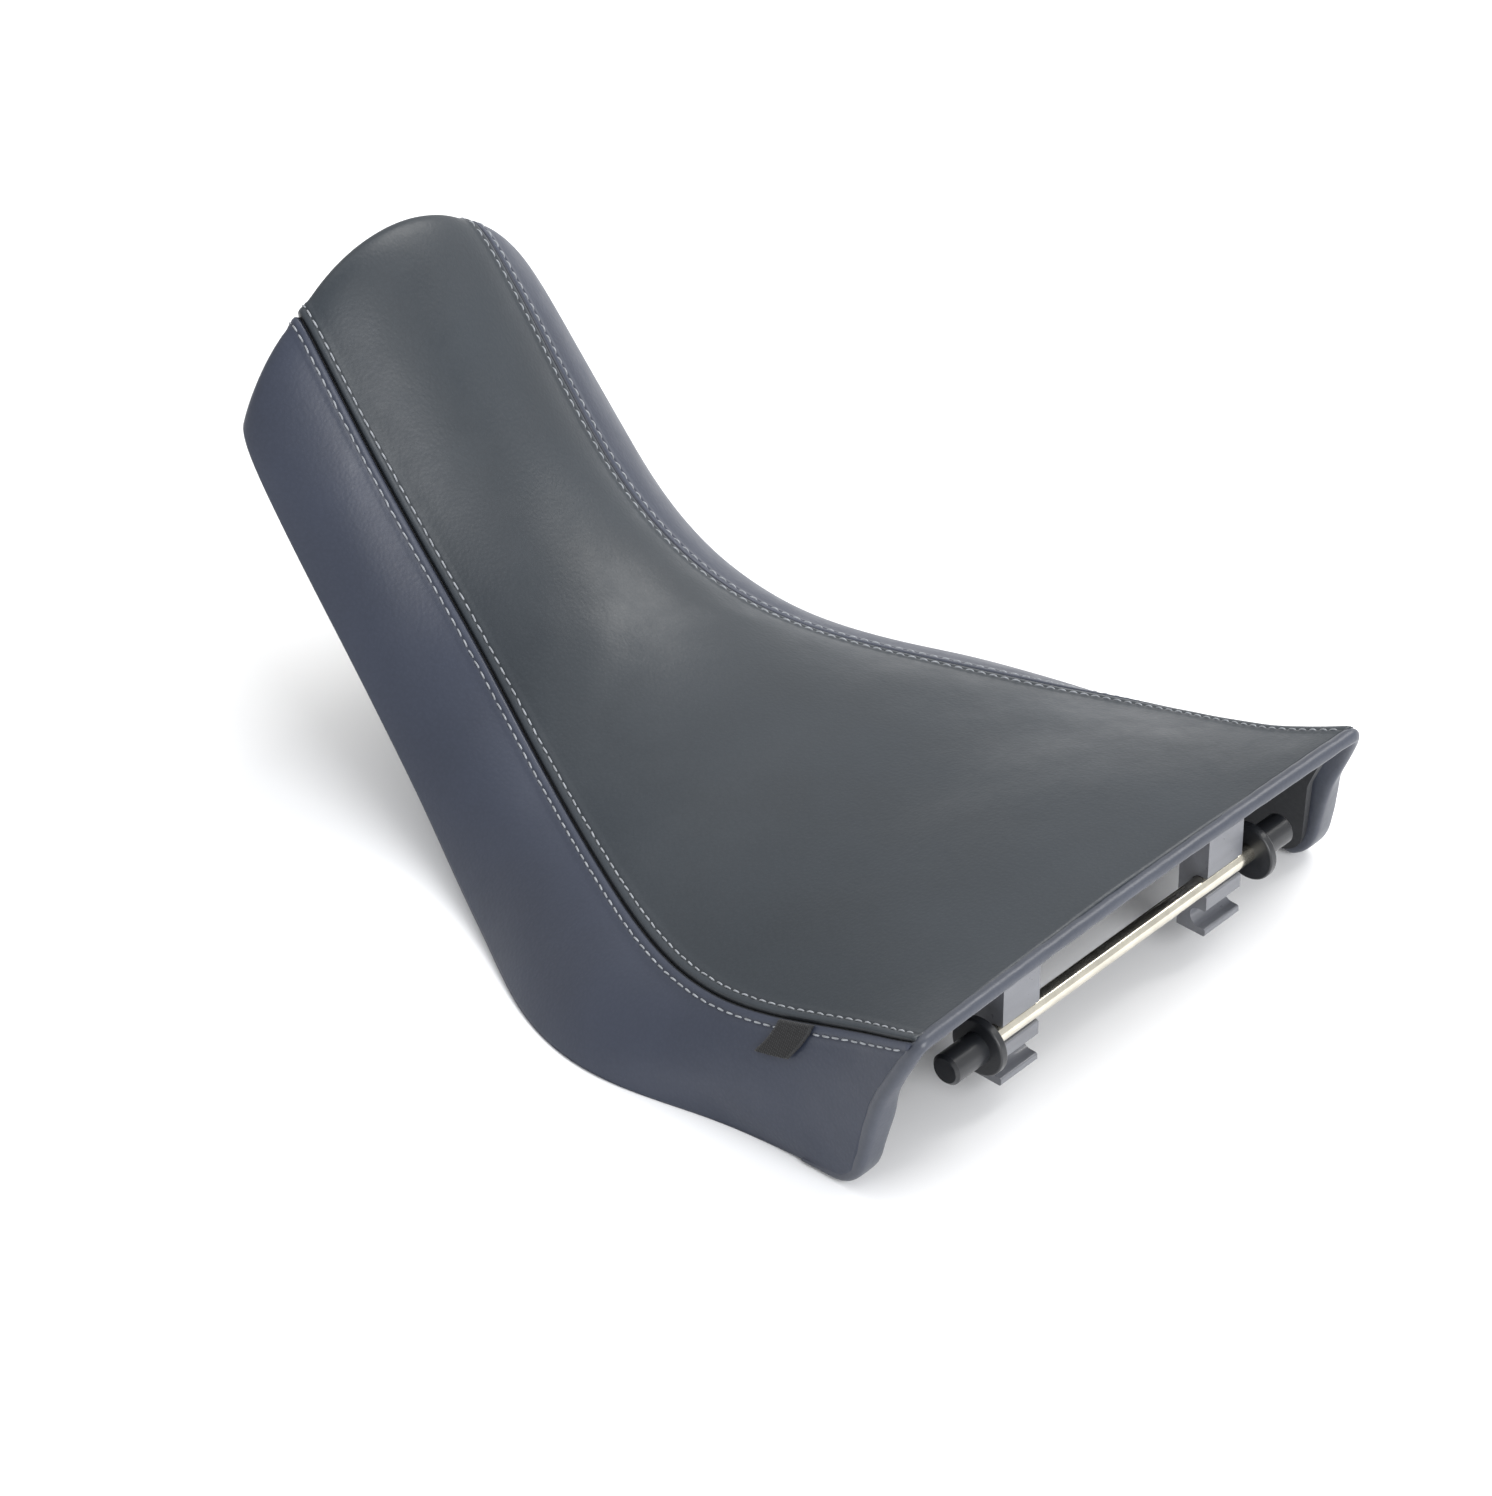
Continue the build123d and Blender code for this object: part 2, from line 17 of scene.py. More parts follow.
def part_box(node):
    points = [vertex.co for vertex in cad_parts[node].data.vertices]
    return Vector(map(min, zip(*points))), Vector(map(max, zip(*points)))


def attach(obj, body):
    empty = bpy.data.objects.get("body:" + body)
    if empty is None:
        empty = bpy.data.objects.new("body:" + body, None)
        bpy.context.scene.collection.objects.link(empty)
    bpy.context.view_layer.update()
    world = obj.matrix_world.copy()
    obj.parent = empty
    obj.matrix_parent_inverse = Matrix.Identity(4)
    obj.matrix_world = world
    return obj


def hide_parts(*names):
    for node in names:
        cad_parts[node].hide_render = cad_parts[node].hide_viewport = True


bl_info = {
    "name": "Motorcycle seat",
    "version": (1, 0, 0),
    "blender": (4, 5, 0),
    "location": "View3D > Sidebar > Seat",
    "description": "Builds the cover, stitching, foam and finishes of a rider's seat",
    "category": "Object",
}

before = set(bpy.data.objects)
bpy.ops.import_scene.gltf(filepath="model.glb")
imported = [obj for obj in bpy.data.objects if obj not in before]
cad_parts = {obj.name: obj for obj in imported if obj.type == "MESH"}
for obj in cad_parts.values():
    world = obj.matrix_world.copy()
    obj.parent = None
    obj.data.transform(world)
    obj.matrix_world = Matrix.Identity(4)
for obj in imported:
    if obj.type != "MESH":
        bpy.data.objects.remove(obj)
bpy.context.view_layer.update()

MM = 0.001
SEAT = "seat"
SEED = 11

# Distances from a seam at which the cover's grid has lines: close where the seam is folded.
SEAM_LINES = np.array([0, 0.5, 1.0, 1.6, 2.3, 3.1, 4.0, 4.8, 5.5, 6.2, 7.2, 8.6, 10.4, 13.0]) * MM
STITCH_LINE = 8              # the line in SEAM_LINES that the topstitching follows
TOP_LINES = 42               # further lines from there to the middle of the top panel
SIDE_LINES = 36              # and to the hem of a side panel
BODY_ROWS = 190              # rows of the grid from the rear edge to the nose
NOSE_ROWS = 34               # rows over the nose end
NOSE_START = 216 * MM        # where the cover starts to turn over the nose end
SEAM_SHARE = 5 * MM          # how far from a seam its two panels share a direction
TRIAL_ROWS, TRIAL_COLUMNS = 72, 40   # grid of the cloth that the stuffing is tried on
STUFFING_PRESSURE = 4.0
STUFFING_FRAMES = 20
FOAM_SETBACK = 11 * MM       # the foam ends this far in front of the cover's rear edge
SIDE_SWELL = 0.4             # the skirts' share of the swell limit, as their foam is thin
SWELL_FADE = 9 * MM          # the stuffing's swell fades out this close to a seam

# The sewn seam, in millimetres from the seam's middle.
RIDGE_EDGE = 7.2             # where the doubled vinyl under the seam ends
NEEDLE_LINE = 5.5            # where the thread pulls the vinyl down
GROOVE_WIDTH = 0.95
STITCH_DENT = 0.62 * MM      # depth of the line that the thread pulls down
STITCH_TUG = 0.13 * MM       # rise and fall from one stitch to the next
SEAM_UNEVENNESS = 0.28 * MM

STITCH_SLANT = 0.22 * MM     # furthest that a stitch leans off its line
STITCH_ARCH = 0.75 * MM      # rise of the thread between its needle holes
STITCH_SINK = 0.35 * MM      # depth of the thread's ends below the vinyl

# The rolled rear edge: (rearwards, outwards) in millimetres round its section, and the share of
# the rim's own depth at which the point lies, 0 on the cover's side and 1 on the pan's.
RIM_SECTION = (
    (-2.5, -0.6, 0), (-1.2, 0.25, 0), (0.6, 0.75, 0), (2.4, 0.70, 0), (3.8, 0.0, 0), (4.6, -1.3, 0),
    (4.9, -2.6, 0), (4.9, 2.4, 1), (4.5, 1.0, 1), (3.4, -0.1, 1), (1.6, -0.55, 1), (-3.0, -0.5, 1),
    (-8.0, -0.45, 1), (-12.5, -0.4, 1), (-13.2, 0.4, 1), (-8.0, 0.5, 1), (1.0, 0.6, 1),
    (3.0, 1.6, 1), (3.2, -2.4, 0), (1.0, -1.0, 0))
RIM_STEP = 1.8 * MM          # distance from one section of the rim to the next
RIM_REACH = 5                # sections on each side that the rim's course is eased over
THINNEST_RIM, THICKEST_RIM = 6 * MM, 14 * MM
RIM_AVERAGE = 13             # sections that the rim's depth is averaged over

LABEL_TOP, LABEL_FOOT = 1.2 * MM, 19 * MM   # where the label leaves the seam, and how far it hangs
LABEL_COLUMNS, LABEL_ROWS = 26, 20
LABEL_BORDER = 1.4 * MM


def linear(hex_colour):
    """A colour written as sRGB hex, in the linear values that shaders use."""
    values = [int(hex_colour[i:i + 2], 16) / 255 for i in (1, 3, 5)]
    return tuple(v / 12.92 if v <= 0.04045 else ((v + 0.055) / 1.055) ** 2.4 for v in values)


def colour_prop(name, description, hex_colour):
    return FloatVectorProperty(name=name, description=description, subtype="COLOR", size=3,
                               min=0.0, max=1.0, default=linear(hex_colour))


class SeatSizes(bpy.types.PropertyGroup):
    """Sizes of the sewn and moulded details."""
    cover_thickness: FloatProperty(
        name="Cover thickness", description="Thickness of the vinyl cover",
        default=1.5 * MM, unit="LENGTH", subtype="DISTANCE")
    seam_ridge: FloatProperty(
        name="Seam ridge", description="Height of the doubled vinyl beside each seam",
        default=0.95 * MM, unit="LENGTH", subtype="DISTANCE")
    seam_groove: FloatProperty(
        name="Seam groove", description="Depth of the groove where two panels meet",
        default=2.4 * MM, unit="LENGTH", subtype="DISTANCE")
    stitch_pitch: FloatProperty(
        name="Stitch pitch", description="Distance from one topstitch to the next",
        default=6.0 * MM, unit="LENGTH", subtype="DISTANCE")
    stitch_length: FloatProperty(
        name="Stitch length", description="Length of thread that shows between two needle holes",
        default=4.6 * MM, unit="LENGTH", subtype="DISTANCE")
    thread_diameter: FloatProperty(
        name="Thread diameter", description="Diameter of the bonded thread",
        default=0.95 * MM, unit="LENGTH", subtype="DISTANCE")
    grain: FloatProperty(
        name="Grain", description="Width of one pebble of the embossed grain",
        default=1.7 * MM, unit="LENGTH", subtype="DISTANCE")
    nose_fullness: FloatProperty(
        name="Nose fullness", description="How squarely the cover turns over the nose end",
        default=0.86, min=0.4, max=0.98, subtype="FACTOR")
    swell_limit: FloatProperty(
        name="Swell limit", description="Furthest that the stuffed cover may stand out",
        default=3.0 * MM, unit="LENGTH", subtype="DISTANCE")
    turned_hem: FloatProperty(
        name="Turned hem", description="Width of vinyl turned under the hem",
        default=14.0 * MM, unit="LENGTH", subtype="DISTANCE")
    foam_voxel: FloatProperty(
        name="Foam voxel", description="Grid size of the remeshed foam",
        default=5.0 * MM, unit="LENGTH", subtype="DISTANCE")


class SeatColours(bpy.types.PropertyGroup):
    """Colours of the seat's materials."""
    vinyl_top: colour_prop("Top vinyl", "Top panel of the cover", "#21282F")
    vinyl_side: colour_prop("Side vinyl", "Side panels of the cover", "#2A303F")
    vinyl_edge: colour_prop("Edge vinyl", "Rolled edge, paler where it is stretched", "#3B3F49")
    thread: colour_prop("Thread", "Topstitching thread", "#8B8F95")
    label: colour_prop("Label", "Woven seam label", "#0D0E10")
    foam: colour_prop("Foam", "Moulded cushion foam", "#B7AA86")
    pan: colour_prop("Base pan", "Moulded base pan", "#1D1F23")
    # Painted reflection: the brackets are dark plastic, and this mid grey stands in for the soft light
    # reflected off them.
    bracket_painted_reflection: colour_prop("Brackets", "Rail brackets", "#62646A")
    bush: colour_prop("Bushes", "End bushes of the height rail", "#191B1F")
    rod: colour_prop("Rod", "Polished rod of the height rail", "#D9D4C6")
    zinc: colour_prop("Zinc", "Plated screws, rivets and staples", "#B9BCC0")
    coated: colour_prop("Coated steel", "Black coated tongue", "#1B1C1E")
    rubber: colour_prop("Rubber", "Bumpers and tongue sleeve", "#1C1C1E")
    floor: colour_prop("Floor", "Studio floor", "#F4F5F7")


# ---- materials -------------------------------------------------------------------------------

def add_node(tree, kind, inputs=None, **settings):
    """Adds a shader node, sets it up and fills or links its inputs."""
    node = tree.nodes.new(kind)
    for name, value in settings.items():
        setattr(node, name, value)
    for name, value in (inputs or {}).items():
        if isinstance(value, bpy.types.NodeSocket):
            tree.links.new(value, node.inputs[name])
        else:
            node.inputs[name].default_value = value
    return node


def new_material(name):
    """An empty node material with its output and object coordinates ready."""
    material = bpy.data.materials.new(name)
    material.use_nodes = True
    tree = material.node_tree
    tree.nodes.clear()
    output = add_node(tree, "ShaderNodeOutputMaterial")
    place = add_node(tree, "ShaderNodeTexCoord").outputs["Object"]
    return material, tree, output, place


def per_metre(size):
    """Texture scale whose pattern repeats about every size metres."""
    return 1.0 / size


def spread(tree, value, low, high, start=0.3, end=0.7):
    """Maps a texture's value from its usual range to low..high."""
    return add_node(tree, "ShaderNodeMapRange", {
        "Value": value, "From Min": start, "From Max": end, "To Min": low, "To Max": high,
    }).outputs["Result"]


def shaded(tree, base, factor, amount):
    """The base colour, darker and lighter by amount as factor goes from 0 to 1."""
    dark = (*[c * (1 - amount) for c in base], 1)
    light = (*[min(c * (1 + amount), 1.0) for c in base], 1)
    return add_node(tree, "ShaderNodeMix", {"Factor": factor, 6: dark, 7: light},
                    data_type="RGBA").outputs[2]


def vinyl_material(name, base, grain, roughness, bump=0.30):
    """Embossed PVC vinyl: fine pebbled grain, satin, a little polished and dusty in places, with painted
    shade darkening the seam's folds.
    """
    material, tree, output, place = new_material(name)
    pebbles = add_node(tree, "ShaderNodeTexVoronoi", {
        "Vector": place, "Scale": per_metre(grain), "Randomness": 0.95},
        feature="SMOOTH_F1").outputs["Distance"]
    creases = add_node(tree, "ShaderNodeTexNoise", {
        "Vector": place, "Scale": per_metre(grain * 2.6), "Detail": 6.0, "Roughness": 0.62}).outputs["Fac"]
    cloud = add_node(tree, "ShaderNodeTexNoise", {
        "Vector": place, "Scale": per_metre(70 * MM), "Detail": 3.0}).outputs["Fac"]
    rubbed = add_node(tree, "ShaderNodeTexNoise", {
        "Vector": place, "Scale": per_metre(22 * MM), "Detail": 5.0, "Roughness": 0.7}).outputs["Fac"]
    painted_fold_shade = add_node(tree, "ShaderNodeAttribute", attribute_name="painted_fold_shade").outputs["Fac"]
    ridge = add_node(tree, "ShaderNodeAttribute", attribute_name="ridge").outputs["Fac"]
    clouded = shaded(tree, base, spread(tree, cloud, 0.0, 1.0), 0.10)
    speckle = add_node(tree, "ShaderNodeMix", {
        "Factor": spread(tree, pebbles, 0.10, 0.0, 0.1, 0.6), 6: clouded,
        7: (*[min(c * 1.7 + 0.01, 1) for c in base], 1)}, data_type="RGBA").outputs[2]
    worn = add_node(tree, "ShaderNodeMix", {
        "Factor": add_node(tree, "ShaderNodeMath", {0: ridge, 1: spread(tree, rubbed, 0.12, 0.5)},
                           operation="MULTIPLY").outputs[0],
        6: speckle, 7: (*[min(c * 1.5 + 0.012, 1) for c in base], 1)}, data_type="RGBA").outputs[2]
    # Painted shade: where the seam folds in and where the thread pulls it down, the vinyl is darkened
    # towards a fifth of its colour.
    with_painted_fold_shade = add_node(tree, "ShaderNodeMix", {
        "Factor": painted_fold_shade, 6: worn, 7: (*[c * 0.22 for c in base], 1)}, data_type="RGBA").outputs[2]
    height = add_node(tree, "ShaderNodeMath", {
        0: pebbles, 1: creases}, operation="ADD").outputs[0]
    relief = add_node(tree, "ShaderNodeBump", {
        "Height": height, "Strength": bump, "Distance": 0.25 * MM}).outputs["Normal"]
    shader = add_node(tree, "ShaderNodeBsdfPrincipled", {
        "Base Color": with_painted_fold_shade, "Roughness": spread(tree, rubbed, roughness - 0.05, roughness + 0.07),
        "Normal": relief, "IOR": 1.53, "Sheen Weight": 0.04, "Sheen Roughness": 0.45,
        "Specular IOR Level": 0.4})
    tree.links.new(shader.outputs[0], output.inputs["Surface"])
    return material


def thread_material(name, base):
    """Bonded polyester thread: two plies twisted together, pale, with painted shade in grey between the
    plies and painted highlight along them.
    """
    material, tree, output, place = new_material(name)
    # The real twist is about 0.7 mm long; it is drawn at 1.4 mm so that it shows.
    twist = add_node(tree, "ShaderNodeTexWave", {
        "Vector": place, "Scale": per_metre(1.4 * MM) / 6.28, "Distortion": 2.0, "Detail": 1.0},
        bands_direction="DIAGONAL").outputs["Fac"]
    soil = add_node(tree, "ShaderNodeTexNoise", {
        "Vector": place, "Scale": per_metre(30 * MM), "Detail": 2.0}).outputs["Fac"]
    # Painted light and shade: the twist's bands make the colour lighter on the plies and darker between
    # them.
    painted_twist_shade = shaded(tree, base, twist, 0.18)
    grimy = add_node(tree, "ShaderNodeMix", {
        "Factor": spread(tree, soil, 0.0, 0.35), 6: painted_twist_shade, 7: (*[c * 0.6 for c in base], 1)},
        data_type="RGBA").outputs[2]
    relief = add_node(tree, "ShaderNodeBump", {
        "Height": twist, "Strength": 0.6, "Distance": 0.2 * MM}).outputs["Normal"]
    shader = add_node(tree, "ShaderNodeBsdfPrincipled", {
        "Base Color": grimy, "Roughness": 0.55, "Normal": relief, "Sheen Weight": 0.3})
    tree.links.new(shader.outputs[0], output.inputs["Surface"])
    return material


def woven_material(name, base):
    """Damask-woven polyester: a tight plain weave with a slightly paler woven border."""
    material, tree, output, place = new_material(name)
    # The real yarns are 0.25 mm apart; they are drawn 0.6 mm apart so that they show.
    yarn = per_metre(0.6 * MM) / 6.28
    warp = add_node(tree, "ShaderNodeTexWave", {"Vector": place, "Scale": yarn, "Distortion": 0.4},
                    bands_direction="X").outputs["Fac"]
    weft = add_node(tree, "ShaderNodeTexWave", {"Vector": place, "Scale": yarn, "Distortion": 0.4},
                    bands_direction="Z").outputs["Fac"]
    weave = add_node(tree, "ShaderNodeMath", {0: warp, 1: weft}, operation="MULTIPLY").outputs[0]
    border = add_node(tree, "ShaderNodeAttribute", attribute_name="border").outputs["Fac"]
    cloth = shaded(tree, base, weave, 0.30)
    edged = add_node(tree, "ShaderNodeMix", {
        "Factor": border, 6: cloth, 7: (*[c * 1.8 + 0.01 for c in base], 1)},
        data_type="RGBA").outputs[2]
    relief = add_node(tree, "ShaderNodeBump", {
        "Height": weave, "Strength": 0.8, "Distance": 0.3 * MM}).outputs["Normal"]
    shader = add_node(tree, "ShaderNodeBsdfPrincipled", {
        "Base Color": edged, "Roughness": 0.8, "Normal": relief, "Sheen Weight": 0.1})
    tree.links.new(shader.outputs[0], output.inputs["Surface"])
    return material


def foam_material(name, base):
    """Moulded polyurethane foam: open cells, uneven yellowing and a dull skin."""
    material, tree, output, place = new_material(name)
    cells = add_node(tree, "ShaderNodeTexVoronoi", {
        "Vector": place, "Scale": per_metre(2.2 * MM), "Randomness": 1.0}).outputs["Distance"]
    pores = add_node(tree, "ShaderNodeTexNoise", {
        "Vector": place, "Scale": per_metre(4 * MM), "Detail": 8.0, "Roughness": 0.75}).outputs["Fac"]
    age = add_node(tree, "ShaderNodeTexNoise", {
        "Vector": place, "Scale": per_metre(60 * MM), "Detail": 2.0}).outputs["Fac"]
    aged = shaded(tree, base, spread(tree, age, 0.0, 1.0), 0.16)
    pitted = add_node(tree, "ShaderNodeMix", {
        "Factor": spread(tree, cells, 0.5, 0.0, 0.0, 0.35), 6: aged, 7: (*[c * 0.45 for c in base], 1)},
        data_type="RGBA").outputs[2]
    height = add_node(tree, "ShaderNodeMath", {0: cells, 1: pores}, operation="ADD").outputs[0]
    relief = add_node(tree, "ShaderNodeBump", {
        "Height": height, "Strength": 0.9, "Distance": 0.8 * MM}).outputs["Normal"]
    shader = add_node(tree, "ShaderNodeBsdfPrincipled", {
        "Base Color": pitted, "Roughness": 0.92, "Normal": relief})
    tree.links.new(shader.outputs[0], output.inputs["Surface"])
    return material


def moulded_material(name, base, roughness, texture=0.9 * MM, bump=0.25, coat=0.0):
    """Injection-moulded plastic: spark-eroded texture, faint flow marks and rubbed spots."""
    material, tree, output, place = new_material(name)
    spark = add_node(tree, "ShaderNodeTexNoise", {
        "Vector": place, "Scale": per_metre(texture), "Detail": 4.0, "Roughness": 0.6}).outputs["Fac"]
    stretched = add_node(tree, "ShaderNodeMapping", {
        "Vector": place, "Scale": (1.0, 0.25, 1.0)}).outputs["Vector"]
    flow = add_node(tree, "ShaderNodeTexNoise", {
        "Vector": stretched, "Scale": per_metre(12 * MM), "Detail": 3.0, "Distortion": 0.8}).outputs["Fac"]
    scuffs = add_node(tree, "ShaderNodeTexNoise", {
        "Vector": place, "Scale": per_metre(6 * MM), "Detail": 8.0, "Roughness": 0.8}).outputs["Fac"]
    toned = shaded(tree, base, spread(tree, flow, 0.0, 1.0), 0.14)
    scuffed = add_node(tree, "ShaderNodeMix", {
        "Factor": spread(tree, scuffs, 0.0, 0.28, 0.58, 0.75), 6: toned,
        7: (*[min(c * 1.8 + 0.02, 1) for c in base], 1)}, data_type="RGBA").outputs[2]
    relief = add_node(tree, "ShaderNodeBump", {
        "Height": spark, "Strength": bump, "Distance": 0.15 * MM}).outputs["Normal"]
    shader = add_node(tree, "ShaderNodeBsdfPrincipled", {
        "Base Color": scuffed, "Roughness": spread(tree, scuffs, roughness - 0.06, roughness + 0.12),
        "Normal": relief, "IOR": 1.50, "Coat Weight": coat, "Coat Roughness": 0.25})
    tree.links.new(shader.outputs[0], output.inputs["Surface"])
    return material


def rubber_material(name, base):
    """Moulded EPDM rubber: matt black with a grey bloom and fine dimples."""
    material, tree, output, place = new_material(name)
    bloom = add_node(tree, "ShaderNodeTexNoise", {
        "Vector": place, "Scale": per_metre(9 * MM), "Detail": 6.0, "Roughness": 0.7}).outputs["Fac"]
    dimples = add_node(tree, "ShaderNodeTexVoronoi", {
        "Vector": place, "Scale": per_metre(1.2 * MM)}).outputs["Distance"]
    bloomed = add_node(tree, "ShaderNodeMix", {
        "Factor": spread(tree, bloom, 0.0, 0.5, 0.4, 0.75), 6: (*base, 1),
        7: (*[c * 2.2 + 0.02 for c in base], 1)}, data_type="RGBA").outputs[2]
    relief = add_node(tree, "ShaderNodeBump", {
        "Height": dimples, "Strength": 0.3, "Distance": 0.1 * MM}).outputs["Normal"]
    shader = add_node(tree, "ShaderNodeBsdfPrincipled", {
        "Base Color": bloomed, "Roughness": 0.82, "Normal": relief, "IOR": 1.52})
    tree.links.new(shader.outputs[0], output.inputs["Surface"])
    return material


def metal_material(name, base, roughness, brushed=(1.0, 0.06, 1.0), anisotropy=0.0, bump=0.12):
    """Bare or plated steel: drawn lines along the part, small smears and handling marks."""
    material, tree, output, place = new_material(name)
    drawn = add_node(tree, "ShaderNodeMapping", {"Vector": place, "Scale": brushed}).outputs["Vector"]
    lines = add_node(tree, "ShaderNodeTexNoise", {
        "Vector": drawn, "Scale": per_metre(0.8 * MM), "Detail": 3.0}).outputs["Fac"]
    smears = add_node(tree, "ShaderNodeTexNoise", {
        "Vector": place, "Scale": per_metre(14 * MM), "Detail": 5.0, "Roughness": 0.65}).outputs["Fac"]
    toned = shaded(tree, base, spread(tree, smears, 0.0, 1.0), 0.12)
    relief = add_node(tree, "ShaderNodeBump", {
        "Height": lines, "Strength": bump, "Distance": 0.08 * MM}).outputs["Normal"]
    shader = add_node(tree, "ShaderNodeBsdfPrincipled", {
        "Base Color": toned, "Metallic": 1.0, "Normal": relief, "Anisotropic": anisotropy,
        "Roughness": spread(tree, smears, roughness * 0.8, roughness * 1.35)})
    tree.links.new(shader.outputs[0], output.inputs["Surface"])
    return material


def coated_material(name, base):
    """Electro-dipped black coat on steel: smooth, slightly orange-peeled, satin."""
    material, tree, output, place = new_material(name)
    peel = add_node(tree, "ShaderNodeTexNoise", {
        "Vector": place, "Scale": per_metre(2.5 * MM), "Detail": 2.0}).outputs["Fac"]
    rubbed = add_node(tree, "ShaderNodeTexNoise", {
        "Vector": place, "Scale": per_metre(8 * MM), "Detail": 9.0, "Roughness": 0.8}).outputs["Fac"]
    colour = add_node(tree, "ShaderNodeMix", {
        "Factor": spread(tree, rubbed, 0.0, 0.5, 0.62, 0.74), 6: (*base, 1), 7: (*linear("#6E6F70"), 1)},
        data_type="RGBA").outputs[2]
    relief = add_node(tree, "ShaderNodeBump", {
        "Height": peel, "Strength": 0.2, "Distance": 0.2 * MM}).outputs["Normal"]
    shader = add_node(tree, "ShaderNodeBsdfPrincipled", {
        "Base Color": colour, "Roughness": spread(tree, rubbed, 0.32, 0.5), "Normal": relief})
    tree.links.new(shader.outputs[0], output.inputs["Surface"])
    return material


def floor_material(name, base):
    """Painted studio floor: even, matt and pale, with the faintest unevenness."""
    material, tree, output, place = new_material(name)
    roll = add_node(tree, "ShaderNodeTexNoise", {
        "Vector": place, "Scale": per_metre(0.6), "Detail": 2.0}).outputs["Fac"]
    shader = add_node(tree, "ShaderNodeBsdfPrincipled", {
        "Base Color": shaded(tree, base, spread(tree, roll, 0.0, 1.0), 0.008), "Roughness": 0.9,
        "Specular IOR Level": 0.2})
    tree.links.new(shader.outputs[0], output.inputs["Surface"])
    return material


# ---- the seat's shape, read from the frame ------------------------------------------------------

def edge_lines(node):
    """Start and end points of every mesh edge of a node of the frame."""
    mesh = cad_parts[node].data
    points = np.empty(len(mesh.vertices) * 3)
    mesh.vertices.foreach_get("co", points)
    points = points.reshape(-1, 3)
    ends = np.empty(len(mesh.edges) * 2, dtype=np.int32)
    mesh.edges.foreach_get("vertices", ends)
    ends = ends.reshape(-1, 2)
    return points[ends[:, 0]], points[ends[:, 1]]


def cut(lines, axis, value):
    """Points where those edges cross the plane at value on the axis."""
    start, end = lines
    before, after = start[:, axis] - value, end[:, axis] - value
    crossing = before * after < 0
    share = (before[crossing] / (before[crossing] - after[crossing]))[:, None]
    return start[crossing] * (1 - share) + end[crossing] * share


def smoothed(places, values, reach):
    """Local quadratic fit, which takes out the unevenness of the mesh."""
    out = np.empty_like(values)
    for i, place in enumerate(places):
        weight = np.exp(-0.25 * ((places - place) / reach) ** 2)
        out[i] = np.polyfit(places - place, values, 2, w=weight)[-1]
    return out


def read_profile():
    """Seam, peak, hem and side bulge along the seat, and the outline of its open rear edge."""
    top, side = edge_lines("cover_top_panel"), edge_lines("cover_left_panel")
    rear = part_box("cover_top_panel")[0].x
    hem_from = rear + 54 * MM
    along = np.linspace(rear + 0.7 * MM, NOSE_START, 120)
    seam_y, seam_z, peak_z = [], [], []
    for x in along:
        points = cut(top, 0, x)
        seam = points[points[:, 1].argmax()]
        seam_y.append(seam[1])
        seam_z.append(seam[2])
        middle = points if x > rear + 3 * MM else points[np.abs(points[:, 1]) < 20 * MM]
        peak_z.append(middle[:, 2].max())
    hem_at = np.linspace(hem_from, NOSE_START, 100)
    hem_y, hem_z, bulge = [], [], []
    for x in hem_at:
        points = cut(side, 0, x)[:, 1:]
        low = points[points[:, 1] < points[:, 1].min() + 0.3 * MM]
        hem = low[low[:, 0].argmax()]
        seam = np.array([np.interp(x, along, seam_y), np.interp(x, along, seam_z)])
        chord = (hem - seam) / np.linalg.norm(hem - seam)
        outward = np.array([-chord[1], chord[0]])
        hem_y.append(hem[0])
        hem_z.append(hem[1])
        bulge.append(((points - seam) @ outward).max())
    reach = 9 * MM
    heights = np.concatenate([[0.3, 0.6], np.arange(1, 96, 1.5)]) * MM
    edge_z, edge_x = [], []
    for z in heights:
        points = cut(side, 2, z)
        if len(points):
            edge_z.append(z)
            edge_x.append(points[:, 0].min())
    return {
        "along": along,
        "seam_y": smoothed(along, np.array(seam_y), reach),
        "seam_z": smoothed(along, np.array(seam_z), reach),
        "peak_z": smoothed(along, np.array(peak_z), reach),
        "hem_at": hem_at,
        "hem_y": smoothed(hem_at, np.array(hem_y), reach),
        "hem_z": smoothed(hem_at, np.array(hem_z), reach),
        "bulge": smoothed(hem_at, np.array(bulge), reach),
        "edge_z": np.array(edge_z),
        "edge_x": np.array(edge_x),
        "rear": rear,
    }


profile = read_profile()
NOSE_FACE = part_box("cover_nose_panel")[1].x
NOSE_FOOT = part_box("cover_nose_panel")[0].z
NOSE_SEAM_Y = 46 * MM        # the seams' distance from the middle at the foot of the nose
NOSE_CORNER_Y = 80 * MM      # and where the hem turns along the foot


def seam_at(x):
    return (np.interp(x, profile["along"], profile["seam_y"]),
            np.interp(x, profile["along"], profile["seam_z"]))


def top_length(x):
    """Length of the top panel's arc at x, from seam to middle, with its radius and half angle."""
    half, low = seam_at(x)
    crown = np.interp(x, profile["along"], profile["peak_z"]) - low
    radius = (half ** 2 + crown ** 2) / (2 * crown)
    angle = np.arctan2(half, radius - crown)
    return radius * angle, radius, angle


def top_point(x, distance):
    """Point on the top panel at x, that far along its arc from the left seam."""
    _, radius, angle = top_length(x)
    turn = angle - distance / radius
    peak = np.interp(x, profile["along"], profile["peak_z"])
    return np.stack([x + 0 * distance, radius * np.sin(turn), peak - radius * (1 - np.cos(turn))], -1)


